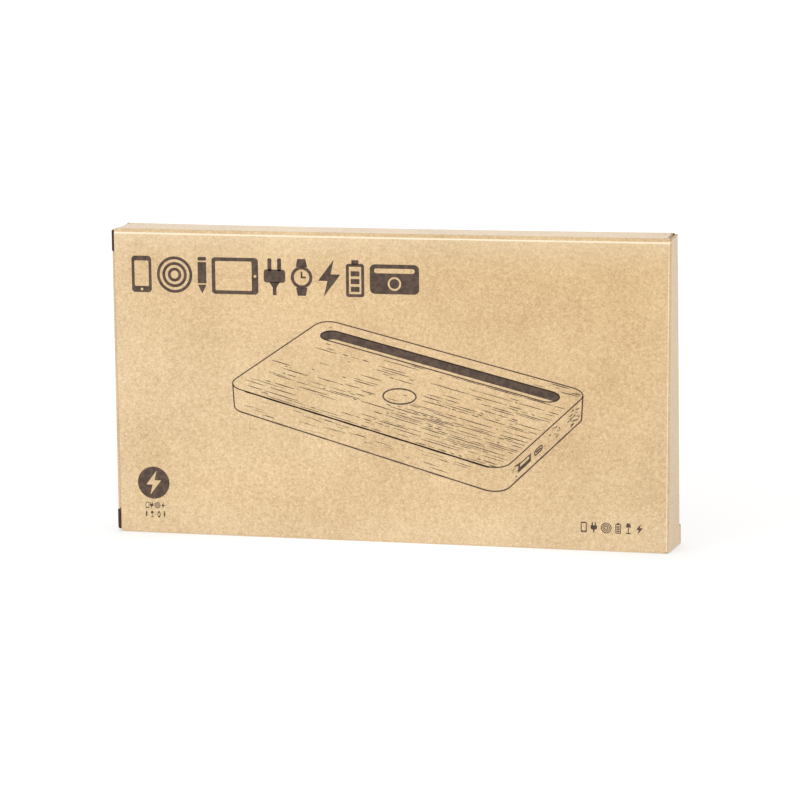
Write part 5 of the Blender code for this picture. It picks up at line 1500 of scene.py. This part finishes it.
def side_grain(rng):
    """Sparse grain on the front and dabs of shade on the right end."""
    shapes = []
    for _ in range(FRONT_STROKES):
        x = rng.uniform(SLAB_CORNER, SLAB.x - SLAB_CORNER - FRONT_STOP)
        z = rng.uniform(FRONT_RISE[0], SLAB.z - FRONT_RISE[1])
        length = rng.uniform(*FRONT_LENGTHS)
        width = rng.uniform(*FRONT_WIDTHS)
        shapes.append(grain_stroke(rng, Vector((x, 0.0, z)), length, width, ALONG_FRONT))
    for count, low, high in END_DABS:
        for _ in range(count):
            y = rng.uniform(low, high)
            z = rng.uniform(END_RISE[0], SLAB.z - END_RISE[1])
            length = rng.uniform(*END_LENGTHS)
            width = rng.uniform(*END_WIDTHS)
            shapes.append(grain_stroke(rng, Vector((SLAB.x, y, z)), length, width, ALONG_END))
    return shapes


def make_drawing():
    """The printed line drawing of the charger."""
    rng = random.Random(DRAWING_SEED)
    print_shapes("drawing_outline", outline_lines(rng))
    print_shapes("drawing_slot", slot_shapes())
    ring = circle(RING_CENTRE, RING_RADIUS, RING_STEPS)
    print_shapes("drawing_ring", [closed_line([drawn(x, y, SLAB.z) for x, y in ring], RING_WIDTH)])
    print_shapes("drawing_ports", port_shapes(rng))
    print_shapes("drawing_top_grain", top_grain(rng))
    print_shapes("drawing_side_grain", side_grain(rng))


# Finishes of the charger's own solids

BAMBOO_DARK = (0.52, 0.315, 0.140)
BAMBOO_PALE = (0.80, 0.580, 0.330)
BAMBOO_STREAK = (0.34, 0.185, 0.075)

# The laminated strips' width and thickness in millimetres, and what sets two layers' tones apart
STRIP_WIDTH = 6.0
STRIP_THICKNESS = 4.7
LAYER_STEP = 37.0

# Plain finishes: colour, roughness, metallic, scale of the grain, spread of its tone and height
PLAIN_FINISHES = {
    "nickel_steel": ((0.60, 0.60, 0.58), 0.28, 1.0, 4.0, 0.06, 0.000004),
    "black_moulding": ((0.022, 0.022, 0.023), 0.5, 0.0, 5.0, 0.25, 0.00002),
    "package_epoxy": ((0.016, 0.016, 0.018), 0.62, 0.0, 9.0, 0.3, 0.00001),
    "foot_rubber": ((0.030, 0.030, 0.031), 0.85, 0.0, 3.0, 0.2, 0.00003),
    "solder_mask": ((0.012, 0.115, 0.040), 0.38, 0.0, 3.0, 0.15, 0.00001),
    "white_moulding": ((0.72, 0.72, 0.70), 0.42, 0.0, 4.0, 0.05, 0.00001),
    "ceramic": ((0.42, 0.30, 0.17), 0.45, 0.0, 6.0, 0.1, 0.00001),
    "enamelled_copper": ((0.78, 0.33, 0.15), 0.32, 1.0, 3.0, 0.1, 0.00001),
    "ferrite": ((0.035, 0.036, 0.040), 0.6, 0.0, 7.0, 0.25, 0.00002),
    "foam": ((0.075, 0.075, 0.078), 0.95, 0.0, 4.0, 0.35, 0.00015),
}

# The finish of each solid, by what its name starts with
NODE_FINISHES = {
    "charger_body": "bamboo",
    "base_cover": "black_moulding",
    "cover_screw": "nickel_steel",
    "board_screw": "nickel_steel",
    "rubber_foot": "foot_rubber",
    "circuit_board": "solder_mask",
    "usb_a_shell": "nickel_steel",
    "usb_c_shell": "nickel_steel",
    "usb_a_insert": "white_moulding",
    "usb_c_insert": "black_moulding",
    "controller_chip": "package_epoxy",
    "bridge_chip": "package_epoxy",
    "power_inductor": "package_epoxy",
    "resonance_capacitor": "ceramic",
    "charging_coil": "enamelled_copper",
    "ferrite_plate": "ferrite",
    "foam_pad": "foam",
}


def bamboo_finish():
    """Laminated bamboo: strips along the slab, each with its own tone, fine fibres and a satin surface."""
    finish = Finish("bamboo", roughness=0.45)
    place = finish.object_place()
    _, across, up = finish.split(place)
    strip = finish.maths("FLOOR", finish.maths("DIVIDE", up, STRIP_WIDTH))
    layer = finish.maths("FLOOR", finish.maths("DIVIDE", across, STRIP_THICKNESS))
    own = finish.maths("MULTIPLY_ADD", layer, LAYER_STEP, strip)
    tone = finish.add("ShaderNodeTexWhiteNoise", (("W", own),), noise_dimensions="1D").outputs["Value"]
    fibres = finish.noise(place, 3.0, 4.0, 0.7, 0.03)
    broad = finish.noise(place, 0.5, along=0.02)
    share = finish.maths("MULTIPLY_ADD", tone, 0.5, finish.maths("MULTIPLY", fibres, 0.6))
    share = finish.maths("SUBTRACT", finish.maths("MULTIPLY_ADD", broad, 0.5, share), 0.3)
    colour = finish.mix(share, BAMBOO_DARK, BAMBOO_PALE)
    streaks = finish.band(finish.noise(place, 1.6, 3.0, 0.6, 0.012), 0.60, 0.72)
    finish.set("Base Color", finish.mix(finish.maths("MULTIPLY", streaks, 0.5), colour, BAMBOO_STREAK))
    finish.set("Roughness", finish.band(fibres, 0.3, 0.7, 0.38, 0.52))
    finish.bump(fibres, 0.00003)
    return finish.material


def plain_finish(name, colour, roughness, metallic, grain, spread, height):
    """A finish with fine grain in its tone, its roughness and its surface."""
    finish = Finish(name, roughness, metallic)
    place = finish.object_place()
    fine = finish.noise(place, grain, 3.0, 0.6)
    broad = finish.noise(place, grain / 20)
    share = finish.maths("MULTIPLY_ADD", fine, 0.6, finish.maths("MULTIPLY", broad, 0.4))
    finish.set("Base Color", finish.mix(share, scaled(colour, 1 - spread), scaled(colour, 1 + spread)))
    finish.set("Roughness", finish.band(fine, 0.25, 0.75, roughness * 0.85, min(1.0, roughness * 1.15)))
    finish.bump(fine, height)
    return finish.material


def dress_nodes():
    """Gives each solid of the charger its finish."""
    finishes = {name: plain_finish(name, *values) for name, values in PLAIN_FINISHES.items()}
    finishes["bamboo"] = bamboo_finish()
    for name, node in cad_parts.items():
        for start, finish in NODE_FINISHES.items():
            if name.startswith(start):
                if not node.material_slots:
                    node.data.materials.append(finishes[finish])
                for holder in node.material_slots:
                    holder.material = finishes[finish]


# Stage, light and camera

FLOOR_SIZE = 12.0
FLOOR_COLOUR = (0.50, 0.50, 0.50)
WORLD_STRENGTH = 1.03
FLOOR_GLOW = 0.50
NEAR_GLOW = 0.25
NEAR_CENTRE = (0.0, -0.06, 0.0)
NEAR_REACH = (0.16, 0.07, 1.0)
NEAR_FULL_SHARE = 0.4
SUN_FROM = (-0.66, -0.72, 0.42)
SUN_STRENGTH = 0.44
SUN_ANGLE = 0.5
PHOTO_SIZE = 800
FOCAL_PIXELS = 2861.0
SENSOR_WIDTH = 36.0
CAMERA_YAW = math.radians(12.219)
CAMERA_PITCH = math.radians(10.636)
CAMERA_ROLL = math.radians(-0.493)
CAMERA_SIDE = -0.002874
CAMERA_RISE = 0.005803
CAMERA_DISTANCE = 1.1191
LOOK_HEIGHT = 0.06104

# Lamps that the camera doesn't see: name, place, power and size
LAMPS = (
    ("fill", (-0.20, -0.42, 0.01), 0.42, 0.25),
    ("rear", (-0.22, 1.1, 0.40), 0.45, 0.5),
)


def make_floor():
    """A wide white floor that glows evenly, with a painted pool of light that makes it a little brighter in
    front of the carton.
    """
    bm = bmesh.new()
    bmesh.ops.create_grid(bm, x_segments=1, y_segments=1, size=FLOOR_SIZE / 2)
    mesh = bpy.data.meshes.new("floor")
    bm.to_mesh(mesh)
    bm.free()
    finish = Finish("floor", roughness=0.9)
    finish.set("Base Color", (*FLOOR_COLOUR, 1.0))
    finish.set("Specular IOR Level", 0.0)
    finish.set("Emission Color", (1.0, 1.0, 1.0, 1.0))
    place = finish.add("ShaderNodeTexCoord").outputs["Object"]
    inputs = ((0, place), (1, NEAR_CENTRE))
    offset = finish.add("ShaderNodeVectorMath", inputs, operation="SUBTRACT").outputs[0]
    offset = finish.stretched(offset, tuple(1 / reach for reach in NEAR_REACH))
    far = finish.add("ShaderNodeVectorMath", ((0, offset),), operation="LENGTH").outputs["Value"]
    glow = finish.band(far, NEAR_FULL_SHARE, 1.0, FLOOR_GLOW + NEAR_GLOW, FLOOR_GLOW)
    finish.set("Emission Strength", glow)
    mesh.materials.append(finish.material)
    add_object("floor", mesh)


def add_light(name, kind, location, energy):
    """A light that looks at the carton's middle."""
    lamp = bpy.data.lights.new(name, kind)
    lamp.energy = energy
    holder = bpy.data.objects.new(name, lamp)
    bpy.context.collection.objects.link(holder)
    holder.location = location
    aim = Vector((0.0, 0.0, LOOK_HEIGHT)) - Vector(location)
    holder.rotation_euler = aim.to_track_quat("-Z", "Y").to_euler()
    return holder


def make_lights():
    """A soft sun from the upper left, a low fill in front and a lamp behind."""
    add_light("sun", "SUN", SUN_FROM, SUN_STRENGTH).data.angle = SUN_ANGLE
    for name, place, power, size in LAMPS:
        lamp = add_light(name, "AREA", place, power)
        lamp.data.size = size
        lamp.visible_camera = False


def make_world():
    """An even white surrounding."""
    world = bpy.data.worlds.new("studio")
    world.use_nodes = True
    background = world.node_tree.nodes["Background"]
    background.inputs["Color"].default_value = (1.0, 1.0, 1.0, 1.0)
    background.inputs["Strength"].default_value = WORLD_STRENGTH
    bpy.context.scene.world = world
    bpy.context.scene.view_settings.view_transform = "Standard"


def make_camera():
    """The photograph's view."""
    right, up, back = view_axes(CAMERA_YAW, CAMERA_PITCH, CAMERA_ROLL)
    camera = bpy.data.cameras.new("camera")
    camera.sensor_width = SENSOR_WIDTH
    camera.lens = FOCAL_PIXELS / PHOTO_SIZE * SENSOR_WIDTH
    camera.clip_end = 2 * FLOOR_SIZE
    holder = bpy.data.objects.new("camera", camera)
    bpy.context.collection.objects.link(holder)
    centre = Vector((0.0, 0.0, LOOK_HEIGHT))
    holder.location = centre - CAMERA_SIDE * right - CAMERA_RISE * up + CAMERA_DISTANCE * back
    holder.rotation_mode = "QUATERNION"
    holder.rotation_quaternion = Matrix((right, up, back)).transposed().to_quaternion()
    bpy.context.scene.camera = holder


make_camera()
make_world()
make_floor()
make_lights()
OUTSIDE = kraft_finish("kraft_outside", KRAFT)
INSIDE = kraft_finish("kraft_inside", KRAFT_INSIDE)
RAW_EDGE = raw_edge_finish()
# Painted shade for the raw edges beyond the slits
SLIT_EDGE_SHADE = painted_slit_shade_finish()
INK_FINISH = ink_finish()
make_board()
make_signs()
make_drawing()
dress_nodes()
